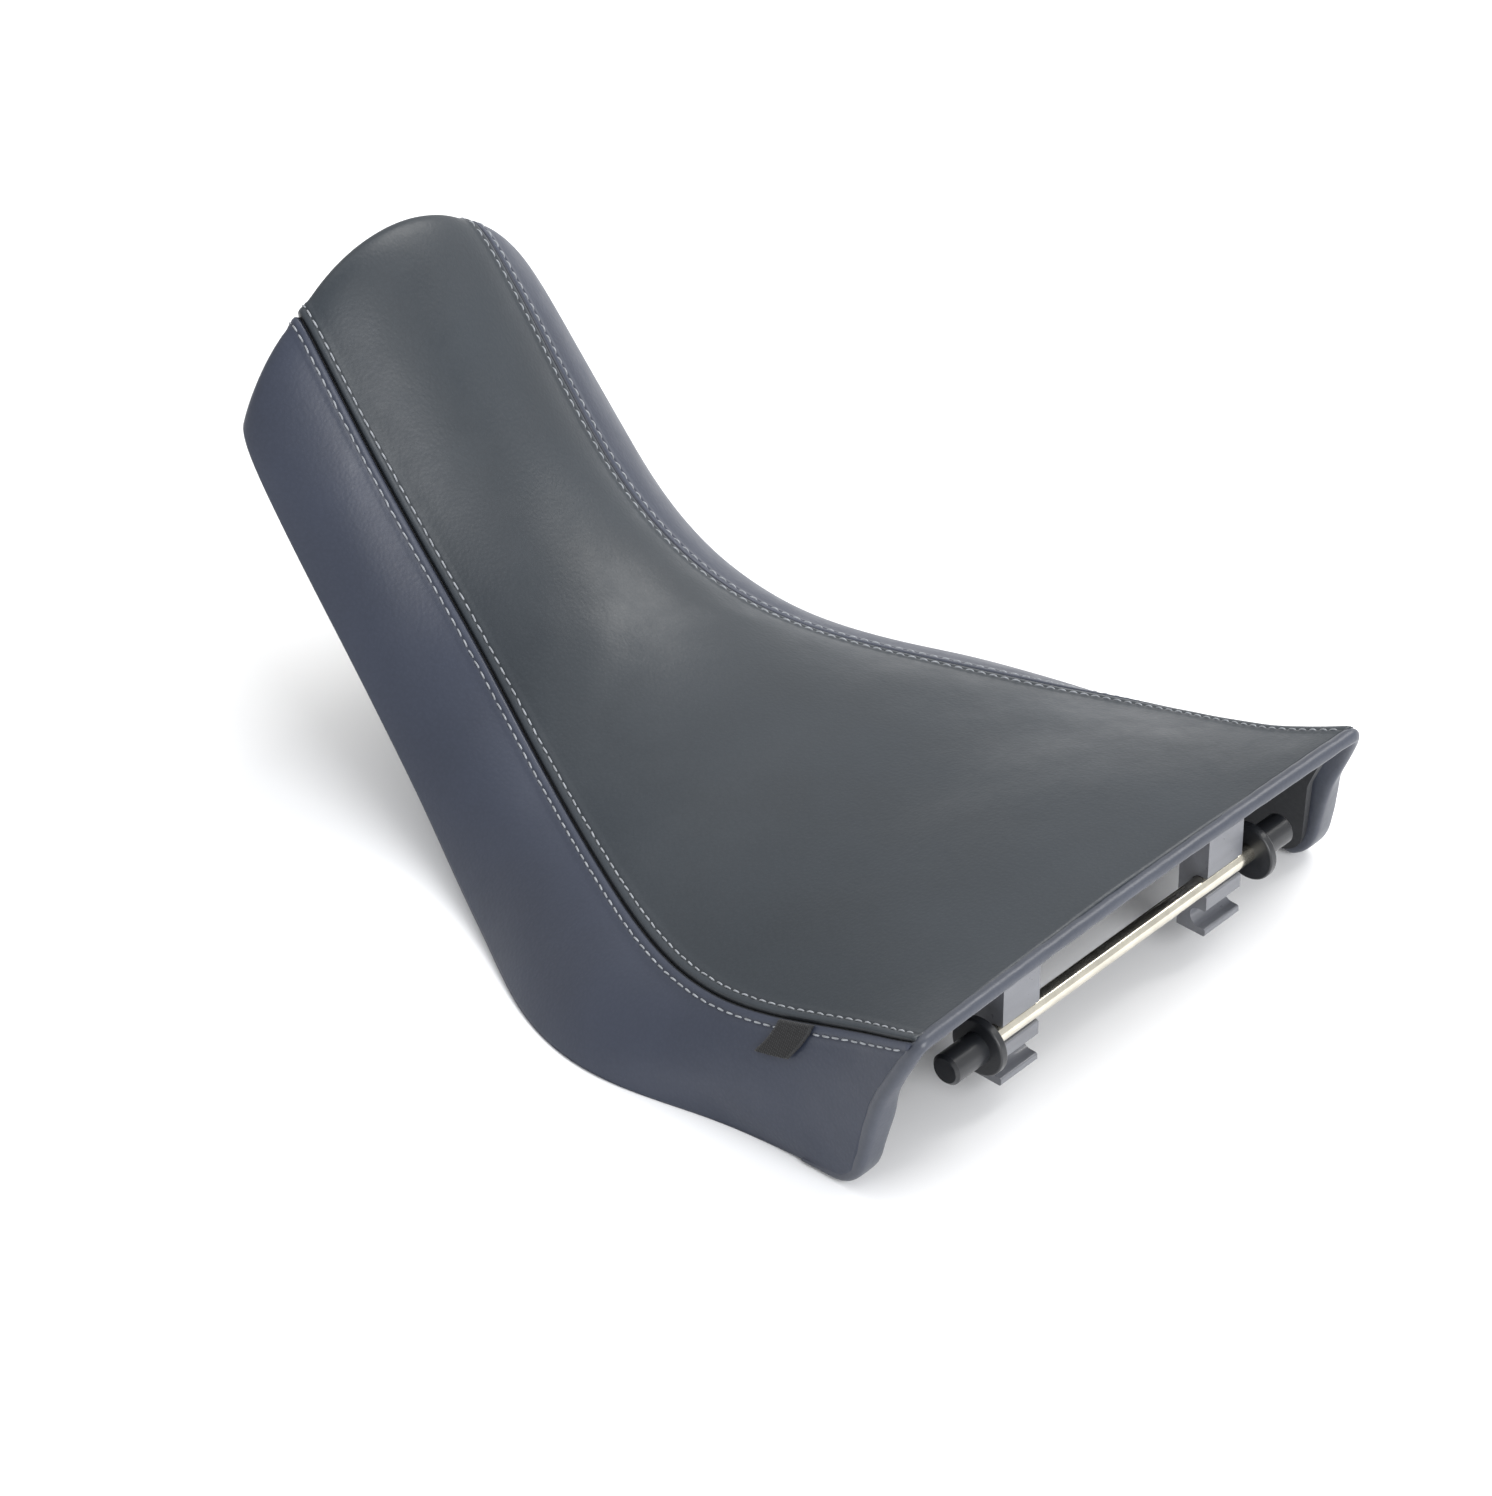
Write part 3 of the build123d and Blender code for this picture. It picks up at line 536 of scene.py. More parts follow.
def side_length(x):
    """Length of the left side panel's arc at x, with its radius, half angle, seam and chord."""
    seam = np.stack(seam_at(x), -1)
    hem = np.stack([np.interp(x, profile["hem_at"], profile["hem_y"]),
                    np.interp(x, profile["hem_at"], profile["hem_z"])], -1)
    chord = hem - seam
    span = np.linalg.norm(chord, axis=-1)
    bulge = np.interp(x, profile["hem_at"], profile["bulge"])
    radius = (span ** 2 / 4 + bulge ** 2) / (2 * bulge)
    angle = np.arcsin(span / 2 / radius)
    return 2 * radius * angle, radius, angle, seam, chord / span[..., None], bulge


def side_point(x, distance):
    """Point on the left side panel at x, that far along its arc from the seam."""
    _, radius, angle, seam, chord, bulge = side_length(x)
    outward = np.stack([-chord[..., 1], chord[..., 0]], -1)
    turn = angle - distance / radius
    forth = radius * (np.sin(angle) - np.sin(turn))
    out = radius * np.cos(turn) - (radius - bulge)
    yz = seam + chord * forth[..., None] + outward * out[..., None]
    return np.concatenate([(x + 0 * distance)[..., None], yz], -1)


def line_distances(length, lines):
    """Distances from the seam of all the grid's lines where the panel is that long."""
    length = np.asarray(length)[..., None]
    rest = np.linspace(0, 1, lines + 1)[1:]
    far = SEAM_LINES[-1] + (length - SEAM_LINES[-1]) * rest
    return np.concatenate([np.broadcast_to(SEAM_LINES, (*length.shape[:-1], len(SEAM_LINES))), far], -1)


def over_the_nose(body, foot, fullness):
    """Rows that turn from the last rows of the body over the nose end, down to its foot."""
    start = body[-1]
    heading = body[-1] - body[-4]
    heading = heading / heading[:, :1]
    face = NOSE_FACE + 3.5 * MM
    corner = start + heading * (face - start[:, :1])
    share = (np.arange(1, NOSE_ROWS + 1) / NOSE_ROWS)[:, None, None]
    first = start + (corner - start) * fullness
    second = foot + (corner - foot) * fullness
    return ((1 - share) ** 3 * start + 3 * (1 - share) ** 2 * share * first
            + 3 * (1 - share) * share ** 2 * second + share ** 3 * foot)


def top_grid(fullness):
    """Points of the top panel from its left seam to the middle, and their distances from the seam."""
    x = np.linspace(profile["rear"], NOSE_START, BODY_ROWS + 1)
    distances = line_distances(top_length(x)[0], TOP_LINES)
    body = top_point(x[:, None], distances)
    foot_distances = line_distances(NOSE_SEAM_Y, TOP_LINES)
    foot = np.stack([0 * foot_distances + NOSE_FACE - 1 * MM, NOSE_SEAM_Y - foot_distances,
                     0 * foot_distances + NOSE_FOOT], -1)
    nose = over_the_nose(body, foot, fullness)
    share = (np.arange(1, NOSE_ROWS + 1) / NOSE_ROWS)[:, None]
    nose_distances = distances[-1] * (1 - share) + foot_distances * share
    return np.concatenate([body, nose]), np.concatenate([distances, nose_distances])


def side_grid(fullness):
    """Points of the left side panel from seam to hem, and their distances from the seam."""
    lines = len(SEAM_LINES) + SIDE_LINES
    start = np.full(lines, profile["rear"])
    for _ in range(60):
        own = line_distances(side_length(start)[0], SIDE_LINES)[np.arange(lines), np.arange(lines)]
        z = side_point(start, own)[:, 2]
        edge = np.maximum(np.interp(z, profile["edge_z"], profile["edge_x"]), profile["rear"])
        start = 0.6 * start + 0.4 * edge
    share = np.linspace(0, 1, BODY_ROWS + 1)[:, None]
    x = start + (NOSE_START - start) * share
    lengths = side_length(x)[0]
    distances = np.stack([line_distances(lengths[:, j], SIDE_LINES)[:, j] for j in range(lines)], -1)
    body = side_point(x, distances)
    foot_distances = line_distances(NOSE_CORNER_Y - NOSE_SEAM_Y, SIDE_LINES)
    foot = np.stack([0 * foot_distances + NOSE_FACE - 1 * MM, NOSE_SEAM_Y + foot_distances,
                     0 * foot_distances + NOSE_FOOT], -1)
    nose = over_the_nose(body, foot, fullness)
    share = (np.arange(1, NOSE_ROWS + 1) / NOSE_ROWS)[:, None]
    nose_distances = distances[-1] * (1 - share) + foot_distances * share
    return np.concatenate([body, nose]), np.concatenate([distances, nose_distances])


def outward_normals(points, away_from):
    """Unit normals of a grid of points, facing away from a point inside the seat."""
    normal = np.cross(np.gradient(points, axis=0), np.gradient(points, axis=1))
    normal /= np.maximum(np.linalg.norm(normal, axis=-1, keepdims=True), 1e-12)
    facing = np.sign(((points - np.array(away_from)) * normal).sum(-1).mean())
    return normal * facing


def run_along(points):
    """Distance from the rear edge along each grid line."""
    steps = np.linalg.norm(np.diff(points, axis=0), axis=-1)
    return np.concatenate([np.zeros((1, points.shape[1])), np.cumsum(steps, axis=0)])


def waves(place, lengths, seed):
    """Sum of gentle waves with those wavelengths, from -1 to 1, the same at every run."""
    draw = np.random.default_rng(seed)
    total = 0
    for length in lengths:
        direction = draw.normal(size=3)
        direction /= np.linalg.norm(direction)
        total = total + np.sin(place @ direction * (2 * math.pi / length) + draw.uniform(0, 2 * math.pi))
    return total / len(lengths)


def seam_relief(distance, run, place, sizes, seed):
    """Height of the folded and topstitched seam above the plain cover."""
    d = distance / MM
    ridge = sizes.seam_ridge * (1 / (1 + np.exp((d - RIDGE_EDGE) * 1.6)))
    groove = -sizes.seam_groove * np.exp(-(d / GROOVE_WIDTH) ** 2)
    pulled = -STITCH_DENT * np.exp(-((d - SEAM_LINES[STITCH_LINE] / MM) / GROOVE_WIDTH) ** 2)
    tug = np.cos(2 * math.pi * run / sizes.stitch_pitch) * np.exp(-((d - NEEDLE_LINE) / 2.2) ** 2)
    uneven = waves(place, (0.021, 0.034, 0.055, 0.013), seed) * np.exp(-(d / 9.0) ** 2)
    return ridge + groove + pulled + STITCH_TUG * tug + SEAM_UNEVENNESS * uneven


def soft_relief(place, distance, seed):
    """The foam's own softness under the cover: broad, shallow unevenness away from the seams."""
    broad = waves(place, (0.19, 0.13, 0.24, 0.16, 0.11), seed)
    fine = waves(place, (0.060, 0.047, 0.074, 0.052), seed + 1)
    away = 1 - np.exp(-(distance / (18 * MM)) ** 2)
    return (0.9 * MM * broad + 0.30 * MM * fine) * away


def seam_painted_shade_and_wear(distance):
    """How deep in the seam's folds each point is, which sets the painted shade there, and how exposed on
    its ridges, which sets where the vinyl is rubbed paler.
    """
    d = distance / MM
    painted_fold_shade = np.clip(np.exp(-(d / 1.25) ** 2) + 0.35 * np.exp(-((d - NEEDLE_LINE) / 0.9) ** 2), 0, 1)
    ridge = np.exp(-((d - 3.0) / 1.6) ** 2)
    return painted_fold_shade, ridge


# ---- mesh helpers ---------------------------------------------------------------------------------

def grid_faces(rows, columns, flip, start=0):
    """Quads of a grid of points that are numbered row by row."""
    corner = (np.arange(rows - 1)[:, None] * columns + np.arange(columns - 1)).ravel() + start
    quads = np.stack([corner, corner + 1, corner + columns + 1, corner + columns], -1)
    return quads[:, ::-1] if flip else quads


def new_piece(name, points, faces, material, attributes=None, smooth=True):
    """A mesh object from points and faces, with its material and point attributes."""
    mesh = bpy.data.meshes.new(name)
    mesh.from_pydata(np.asarray(points).reshape(-1, 3).tolist(), [], [list(map(int, f)) for f in faces])
    for attribute, values in (attributes or {}).items():
        layer = mesh.attributes.new(attribute, "FLOAT", "POINT")
        layer.data.foreach_set("value", np.asarray(values, dtype=np.float32).ravel())
    mesh.materials.append(material)
    mesh.polygons.foreach_set("use_smooth", [smooth] * len(mesh.polygons))
    mesh.update()
    piece = bpy.data.objects.new(name, mesh)
    bpy.context.scene.collection.objects.link(piece)
    return piece


def turned_under(points, slope_at, width):
    """Rows of points that turn the cover's hem under, along a boundary of the cover."""
    along = np.gradient(points, axis=0)
    slope = slope_at(points[:, 0])
    down = np.stack([slope, 0 * slope, -np.ones_like(slope)], -1)
    down /= np.linalg.norm(down, axis=-1, keepdims=True)
    inward = np.cross(down, along)
    inward /= np.maximum(np.linalg.norm(inward, axis=-1, keepdims=True), 1e-12)
    # Inwards is towards the seat's middle, across it more than along it.
    inward *= np.sign((-points * inward * np.array([0.2, 1, 0])).sum(-1, keepdims=True))
    steps = ((1.5 * MM, 0.7 * MM), (4 * MM, 0.9 * MM), (0.4 * width, 0.4 * MM), (width, -0.6 * MM))
    return [points + inward * reach + down * drop for reach, drop in steps]


def hem_slope(x):
    """How steeply the hem climbs towards the nose at x."""
    reach = 2 * MM
    heights = np.interp(np.stack([x - reach, x, x + reach]), profile["hem_at"], profile["hem_z"])
    return np.gradient(heights, reach, axis=0)[1]


def add_solid(piece, thickness):
    """Gives the thin cover its thickness, on the inside."""
    solid = piece.modifiers.new("thickness", "SOLIDIFY")
    solid.thickness = thickness
    solid.offset = -1
    solid.use_even_offset = False


def place_piece(piece, body, slot, *nodes):
    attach(piece, body)
    if nodes:
        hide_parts(*nodes)
    return piece


cover = {}


def stuffing_swell(points, normals, flip, limit):
    """How far the stuffing pushes a panel out between its sewn edges, from a cloth simulation."""
    rows = np.unique(np.linspace(0, points.shape[0] - 1, TRIAL_ROWS).astype(int))
    columns = np.unique(np.linspace(0, points.shape[1] - 1, TRIAL_COLUMNS).astype(int))
    coarse = points[rows][:, columns]
    trial = new_piece("stuffing_trial", coarse, grid_faces(len(rows), len(columns), flip), None)
    number = np.arange(len(rows) * len(columns)).reshape(len(rows), len(columns))
    sewn = np.concatenate([number[0], number[-1], number[:, 0], number[:, -1]])
    trial.vertex_groups.new(name="sewn").add(np.unique(sewn).tolist(), 1.0, "REPLACE")
    cloth = trial.modifiers.new("cloth", "CLOTH").settings
    cloth.quality = 8
    cloth.vertex_group_mass = "sewn"
    cloth.use_pressure = True
    cloth.uniform_pressure_force = STUFFING_PRESSURE
    cloth.effector_weights.gravity = 0
    scene = bpy.context.scene
    for step in range(1, STUFFING_FRAMES + 1):
        scene.frame_set(step)
    shown = trial.evaluated_get(bpy.context.evaluated_depsgraph_get())
    moved = np.empty(coarse.size)
    shown.data.vertices.foreach_get("co", moved)
    push = ((moved.reshape(coarse.shape) - coarse) * normals[rows][:, columns]).sum(-1)
    scene.frame_set(1)
    bpy.data.objects.remove(trial, do_unlink=True)
    push = limit * np.tanh(push / limit)
    every_row, every_column = np.arange(points.shape[0]), np.arange(points.shape[1])
    wide = np.stack([np.interp(every_column, columns, line) for line in push])
    swell = np.stack([np.interp(every_row, rows, line) for line in wide.T], -1)
    for axis in (0, 1):
        padded = np.pad(swell, [(3, 3) if k == axis else (0, 0) for k in (0, 1)], mode="edge")
        swell = sum(np.take(padded, np.arange(swell.shape[axis]) + k, axis=axis) for k in range(7)) / 7
    return swell


def sewn_normals(own, seam, distances):
    """A panel's normals, turned towards the seam's shared normal beside it, so that two panels meet."""
    share = np.exp(-(distances / SEAM_SHARE) ** 2)[..., None]
    blended = own * (1 - share) + seam[:, None] * share
    return blended / np.linalg.norm(blended, axis=-1, keepdims=True)


def build_cover(sizes):
    """Works out the cover's surfaces once: plain, swollen by the stuffing, and with sewn seams."""
    if cover:
        return cover
    half, half_distances = top_grid(sizes.nose_fullness)
    mirror = np.array([1, -1, 1])
    plain_top = np.concatenate([half, (half * mirror)[:, -2::-1]], 1)
    top_distances = np.concatenate([half_distances, half_distances[:, -2::-1]], 1)
    plain_side, side_distances = side_grid(sizes.nose_fullness)
    inside = (-0.05, 0, -0.1)
    skirt_swell = SIDE_SWELL * sizes.swell_limit
    panels = (
        ("top", plain_top, top_distances, (0, 0, -0.3), False, sizes.swell_limit, SEED),
        ("left", plain_side, side_distances, inside, True, skirt_swell, SEED + 20),
        ("right", plain_side * mirror, side_distances, inside, False, skirt_swell, SEED + 40))
    normals = {panel[0]: outward_normals(panel[1], panel[3]) for panel in panels}
    seams = {}
    for side, column in (("left", 0), ("right", -1)):
        shared = normals["top"][:, column] + normals[side][:, 0]
        seams[side] = shared / np.linalg.norm(shared, axis=-1, keepdims=True)
    for name, points, distances, _, flip, limit, seed in panels:
        own = normals[name]
        if name == "top":
            half_way = points.shape[1] // 2
            turned = np.concatenate([
                sewn_normals(own[:, :half_way], seams["left"], distances[:, :half_way]),
                sewn_normals(own[:, half_way:], seams["right"], distances[:, half_way:])], 1)
        else:
            turned = sewn_normals(own, seams[name], distances)
        run = run_along(points)
        relief = seam_relief(distances, run, points * np.array([1, 0, 1]), sizes, SEED + 3)
        relief = relief + soft_relief(points, distances, seed)
        away = 1 - np.exp(-(distances / SWELL_FADE) ** 2)
        relief = relief + stuffing_swell(points, own, flip, limit) * away
        cover[name] = {"plain": points, "points": points + turned * relief[..., None],
                       "normals": own, "distances": distances}
    # The two panels of a seam are sewn edge to edge.
    for side, column in (("left", 0), ("right", -1)):
        edge = (cover["top"]["points"][:, column] + cover[side]["points"][:, 0]) / 2
        cover["top"]["points"][:, column] = cover[side]["points"][:, 0] = edge
    return cover


def panel_piece(name, key, material, sizes, flip):
    """A cover panel with its hem turned under and its thickness."""
    panel = cover[key]
    rows, columns = panel["distances"].shape
    points = panel["points"].reshape(-1, 3)
    faces = [grid_faces(rows, columns, flip)]
    last_row = np.arange((rows - 1) * columns, rows * columns)
    if key == "top":
        boundary = last_row
    else:
        hem = np.arange(rows) * columns + columns - 1
        boundary = np.concatenate([hem, last_row[-2::-1]])
    strips = turned_under(points[boundary], hem_slope, sizes.turned_hem)
    before = boundary
    everything = [points]
    count = len(points)
    for strip in strips:
        after = np.arange(count, count + len(strip))
        quads = np.stack([before[:-1], before[1:], after[1:], after[:-1]], -1)
        faces.append(quads[:, ::-1] if key == "right" else quads)
        everything.append(strip)
        count += len(strip)
        before = after
    # The fold values carry the painted shade of the seam's folds to the vinyl; the ridge values mark where
    # it is rubbed.
    painted_fold_shade, ridge = seam_painted_shade_and_wear(panel["distances"])
    blank = np.zeros(count - rows * columns)
    piece = new_piece(name, np.concatenate(everything), np.concatenate(faces), material, {
        "painted_fold_shade": np.concatenate([painted_fold_shade.ravel(), blank]), "ridge": np.concatenate([ridge.ravel(), blank])})
    add_solid(piece, sizes.cover_thickness)
    return piece


# ---- operators ---------------------------------------------------------------------------------------

class SEAT_OT_cover(bpy.types.Operator):
    """Builds the three stitched vinyl panels of the cover"""
    bl_idname = "seat.cover"
    bl_label = "Cover panels"

    def execute(self, context):
        sizes, colours = context.scene.seat_sizes, context.scene.seat_colours
        build_cover(sizes)
        # Calendered PVC vinyl, embossed with a fine grain: the eye sees a soft satin sheen.
        top_vinyl = vinyl_material("embossed_vinyl_top", colours.vinyl_top, sizes.grain, 0.44)
        side_vinyl = vinyl_material("embossed_vinyl_side", colours.vinyl_side, sizes.grain, 0.42)
        top = panel_piece("top_panel", "top", top_vinyl, sizes, False)
        place_piece(top, SEAT, "vinyl_top", "cover_top_panel", "cover_nose_panel")
        for side in ("left", "right"):
            panel = panel_piece(f"{side}_side_panel", side, side_vinyl, sizes, side == "left")
            place_piece(panel, SEAT, "vinyl_side", f"cover_{side}_panel")
        return {"FINISHED"}


def line_run(points):
    """Distance from a line's first point to each of its points."""
    steps = np.linalg.norm(np.diff(points, axis=0), axis=-1)
    return np.concatenate([[0], np.cumsum(steps)])


def read_line(places, run, vectors):
    """Points or normals of a line, read at distances along it."""
    return np.stack([np.interp(places, run, vectors[:, k]) for k in range(3)], -1)


def row_frames(points, normals, places):
    """Points, normals and crosswise directions at distances along a line."""
    run = line_run(points)
    along = read_line(places + MM, run, points) - read_line(places - MM, run, points)
    along /= np.maximum(np.linalg.norm(along, axis=-1, keepdims=True), 1e-12)
    normal = read_line(places, run, normals)
    normal -= along * (normal * along).sum(-1, keepdims=True)
    normal /= np.linalg.norm(normal, axis=-1, keepdims=True)
    return read_line(places, run, points), normal, np.cross(along, normal)


def stitch_row(points, normals, sizes, seed):
    """Points and faces of one row of stitches, each sinking into its two needle holes."""
    rings, around = 8, 8
    margin = 5 * MM
    draw = np.random.default_rng(seed)
    count = int((line_run(points)[-1] - 2 * margin) / sizes.stitch_pitch)
    starts = margin + np.arange(count) * sizes.stitch_pitch
    lengths = sizes.stitch_length * (1 + draw.uniform(-0.05, 0.05, count))
    share = np.linspace(0, 1, rings)
    places = starts[:, None] + lengths[:, None] * share
    sample, normal, across = row_frames(points, normals, places.ravel())
    lean = (draw.uniform(-STITCH_SLANT, STITCH_SLANT, count)[:, None] * (share - 0.5)).ravel() * 2
    arch = np.tile(np.sin(math.pi * share) ** 0.55, count)
    radius = sizes.thread_diameter / 2 * (0.7 + 0.3 * arch)
    centre = sample + normal * (arch * STITCH_ARCH - STITCH_SINK)[:, None] + across * lean[:, None]
    turn = np.arange(around) * 2 * math.pi / around
    ring = (normal[:, None] * np.cos(turn)[None, :, None] + across[:, None] * np.sin(turn)[None, :, None])
    vertices = centre[:, None] + ring * radius[:, None, None]
    ring_start = np.arange(count * rings).reshape(count, rings)[:, :-1].ravel() * around
    k = np.arange(around)
    a = ring_start[:, None] + k
    b = ring_start[:, None] + (k + 1) % around
    quads = np.stack([a, b, b + around, a + around], -1).reshape(-1, 4)
    caps = [list(range(s * rings * around, s * rings * around + around))[::-1] for s in range(count)]
    caps += [list(range(((s + 1) * rings - 1) * around, (s + 1) * rings * around)) for s in range(count)]
    return vertices.reshape(-1, 3), quads.tolist() + caps


class SEAT_OT_stitching(bpy.types.Operator):
    """Sews two rows of topstitching along each seam"""
    bl_idname = "seat.stitching"
    bl_label = "Topstitching"

    def execute(self, context):
        sizes, colours = context.scene.seat_sizes, context.scene.seat_colours
        build_cover(sizes)
        # Bonded polyester thread: pale twisted dashes that catch the light.
        thread = thread_material("bonded_polyester_thread", colours.thread)
        top, last = cover["top"], cover["top"]["points"].shape[1] - 1
        for side, line, seed in (("left", STITCH_LINE, 5), ("right", last - STITCH_LINE, 6)):
            vertices, faces, count = [], [], 0
            for panel, column in ((top, line), (cover[side], STITCH_LINE)):
                row, row_faces = stitch_row(panel["points"][:, column], panel["normals"][:, column], sizes,
                                            SEED + seed + len(vertices))
                vertices.append(row)
                faces += [[i + count for i in face] for face in row_faces]
                count += len(row)
            piece = new_piece(f"{side}_topstitching", np.concatenate(vertices), faces, thread)
            place_piece(piece, SEAT, "thread", f"{side}_seam_stitching")
        return {"FINISHED"}


def eased_line(vectors):
    """Points or normals of a line, each averaged with its neighbours."""
    kernel = np.exp(-0.5 * (np.arange(-RIM_REACH, RIM_REACH + 1) / 2.2) ** 2)
    kernel /= kernel.sum()
    padded = np.pad(vectors, ((RIM_REACH, RIM_REACH), (0, 0)), mode="edge")
    return np.stack([np.convolve(padded[:, k], kernel, "valid") for k in range(3)], -1)


def rear_rim():
    """Points, outward normals and rearward directions from the left hem over the top to the right."""
    left, top, right = cover["left"], cover["top"], cover["right"]
    points = np.concatenate([left["plain"][0][::-1], top["plain"][0][1:-1], right["plain"][0]])
    normals = np.concatenate([left["normals"][0][::-1], top["normals"][0][1:-1], right["normals"][0]])
    run = line_run(points)
    places = np.arange(0, run[-1], RIM_STEP)
    points = read_line(places, run, points)
    normals = read_line(places, run, normals)
    eased = eased_line(normals)
    eased /= np.linalg.norm(eased, axis=-1, keepdims=True)
    soft = eased_line(points)
    ends = RIM_REACH + 1
    soft[:ends], soft[-ends:] = points[:ends], points[-ends:]
    along = np.gradient(soft, axis=0)
    along /= np.linalg.norm(along, axis=-1, keepdims=True)
    rearward = np.cross(along, eased)
    rearward *= -np.sign(rearward[:, :1])
    rearward /= np.linalg.norm(rearward, axis=-1, keepdims=True)
    return soft, eased, rearward


def rim_thickness(points, normals, rearward):
    """How thick the rolled rim is at each point, measured through the frame's binding."""
    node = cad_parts["rear_edge_binding"].data
    tree = BVHTree.FromPolygons([v.co for v in node.vertices], [p.vertices[:] for p in node.polygons])
    depths = []
    for point, normal, back in zip(points, normals, rearward):
        origin = Vector(point + back * 2 * MM + normal * 5 * MM)
        ray = -Vector(normal)
        first = tree.ray_cast(origin, ray, 0.05)
        second = tree.ray_cast(first[0] + ray * 0.5 * MM, ray, 0.05) if first[0] is not None else (None,)
        depths.append((second[0] - first[0]).length if second[0] is not None else np.nan)
    depths = np.array(depths)
    known = np.isfinite(depths)
    depths = np.interp(np.arange(len(depths)), np.flatnonzero(known), depths[known])
    depths = np.clip(depths, THINNEST_RIM, THICKEST_RIM)
    kernel = np.ones(RIM_AVERAGE) / RIM_AVERAGE
    return np.convolve(np.pad(depths, RIM_AVERAGE // 2, mode="edge"), kernel, "valid")


class SEAT_OT_binding(bpy.types.Operator):
    """Rolls the vinyl round the open rear edge and under the base pan"""
    bl_idname = "seat.binding"
    bl_label = "Rolled rear edge"

    def execute(self, context):
        sizes, colours = context.scene.seat_sizes, context.scene.seat_colours
        build_cover(sizes)
        points, normals, rearward = rear_rim()
        depth = rim_thickness(points, normals, rearward)
        gathers = waves(points, (0.008, 0.011, 0.017, 0.029), SEED + 70)
        rings = []
        for back, out, share in RIM_SECTION:
            puffed = 0.22 * MM * gathers if back > -6 else 0.35 * MM * gathers
            height = out * MM - share * depth + puffed * (1 if share == 0 else -1)
            rings.append(points + rearward * (back * MM) + normals * height[:, None])
        rings = np.stack(rings, 1)
        hem = np.interp(rings[..., 0], profile["hem_at"], profile["hem_z"])
        rings[..., 2] = np.maximum(rings[..., 2], np.maximum(hem, 0) + 0.3 * MM)
        rows, around = rings.shape[:2]
        row, k = np.arange(rows - 1)[:, None] * around, np.arange(around)
        ahead = (k + 1) % around
        quads = np.stack([row + k, row + ahead, row + around + ahead, row + around + k], -1)
        faces = quads.reshape(-1, 4).tolist()
        faces += [list(range(around))[::-1], list(range((rows - 1) * around, rows * around))]
        # The same vinyl, stretched over the rim, which makes it a little paler and glossier.
        vinyl = vinyl_material("stretched_vinyl_edge", colours.vinyl_edge, sizes.grain, 0.38, 0.2)
        piece = new_piece("rolled_rear_edge", rings, faces, vinyl)
        smooth_piece(piece, 1)
        place_piece(piece, SEAT, "vinyl_binding", "rear_edge_binding")
        return {"FINISHED"}


def smooth_piece(piece, levels):
    """Rounds a piece with a subdivision surface."""
    rounding = piece.modifiers.new("rounding", "SUBSURF")
    rounding.levels = levels
    rounding.render_levels = levels


class SEAT_OT_label(bpy.types.Operator):
    """Folds a blank woven label out of the left seam"""
    bl_idname = "seat.label"
    bl_label = "Seam label"

    def execute(self, context):
        sizes, colours = context.scene.seat_sizes, context.scene.seat_colours
        build_cover(sizes)
        low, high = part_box("seam_label")
        side = cover["left"]
        across = np.linspace(low.x, high.x, LABEL_COLUMNS)
        drop = np.linspace(LABEL_TOP, LABEL_FOOT, LABEL_ROWS)
        x_line, points = side["plain"][:, STITCH_LINE, 0], []
        body = slice(0, BODY_ROWS)
        rows = np.interp(across, x_line[body], np.arange(BODY_ROWS))
        for layer in (1, 0):
            for d in drop:
                column = np.interp(d, side["distances"][20], np.arange(side["distances"].shape[1]))
                base = sample_grid(side["points"], rows, column)
                normal = sample_grid(side["normals"], rows, column)
                share = d / LABEL_FOOT
                lift = 0.7 + layer * 0.9 + 0.9 * share ** 2
                curl = 0.5 * np.sin((across - low.x) / (high.x - low.x) * math.pi * 1.3 + 0.6) * share
                points.append(base + normal * ((lift + curl) * MM)[:, None])
            drop = drop[::-1]
        # The front layer runs down, folds at the foot and comes back up behind.
        grid = np.stack(points)
        rows_count = grid.shape[0]
        edge = np.minimum(across - low.x, high.x - across)[None, :] < LABEL_BORDER
        foot = (np.abs(np.arange(rows_count) - (LABEL_ROWS - 1.5)) > LABEL_ROWS - 3.5)[:, None]
        border = np.where(edge | foot, 1.0, 0.0) * np.ones((rows_count, LABEL_COLUMNS))
        # Damask-woven polyester, cut with heat and folded: nearly black, with a fine woven ground.
        cloth = woven_material("woven_polyester_label", colours.label)
        piece = new_piece("woven_seam_label", grid, grid_faces(rows_count, LABEL_COLUMNS, False), cloth,
                          {"border": border})
        solid = piece.modifiers.new("thickness", "SOLIDIFY")
        solid.thickness = 0.5 * MM
        solid.offset = 0
        smooth_piece(piece, 1)
        place_piece(piece, SEAT, "woven_label", "seam_label")
        return {"FINISHED"}


def sample_grid(grid, rows, column):
    """Values between a grid's points, at fractional rows and one fractional column."""
    j = int(min(math.floor(column), grid.shape[1] - 2))
    u = column - j
    i = np.minimum(np.floor(rows).astype(int), grid.shape[0] - 2)
    t = (rows - i)[:, None]
    here = grid[i, j] * (1 - t) + grid[i + 1, j] * t
    there = grid[i, j + 1] * (1 - t) + grid[i + 1, j + 1] * t
    return here * (1 - u) + there * u


def apply_modifiers(piece):
    """Makes the modifiers' result the piece's own mesh."""
    bpy.context.view_layer.update()
    shown = piece.evaluated_get(bpy.context.evaluated_depsgraph_get())
    piece.data = bpy.data.meshes.new_from_object(shown)
    piece.modifiers.clear()


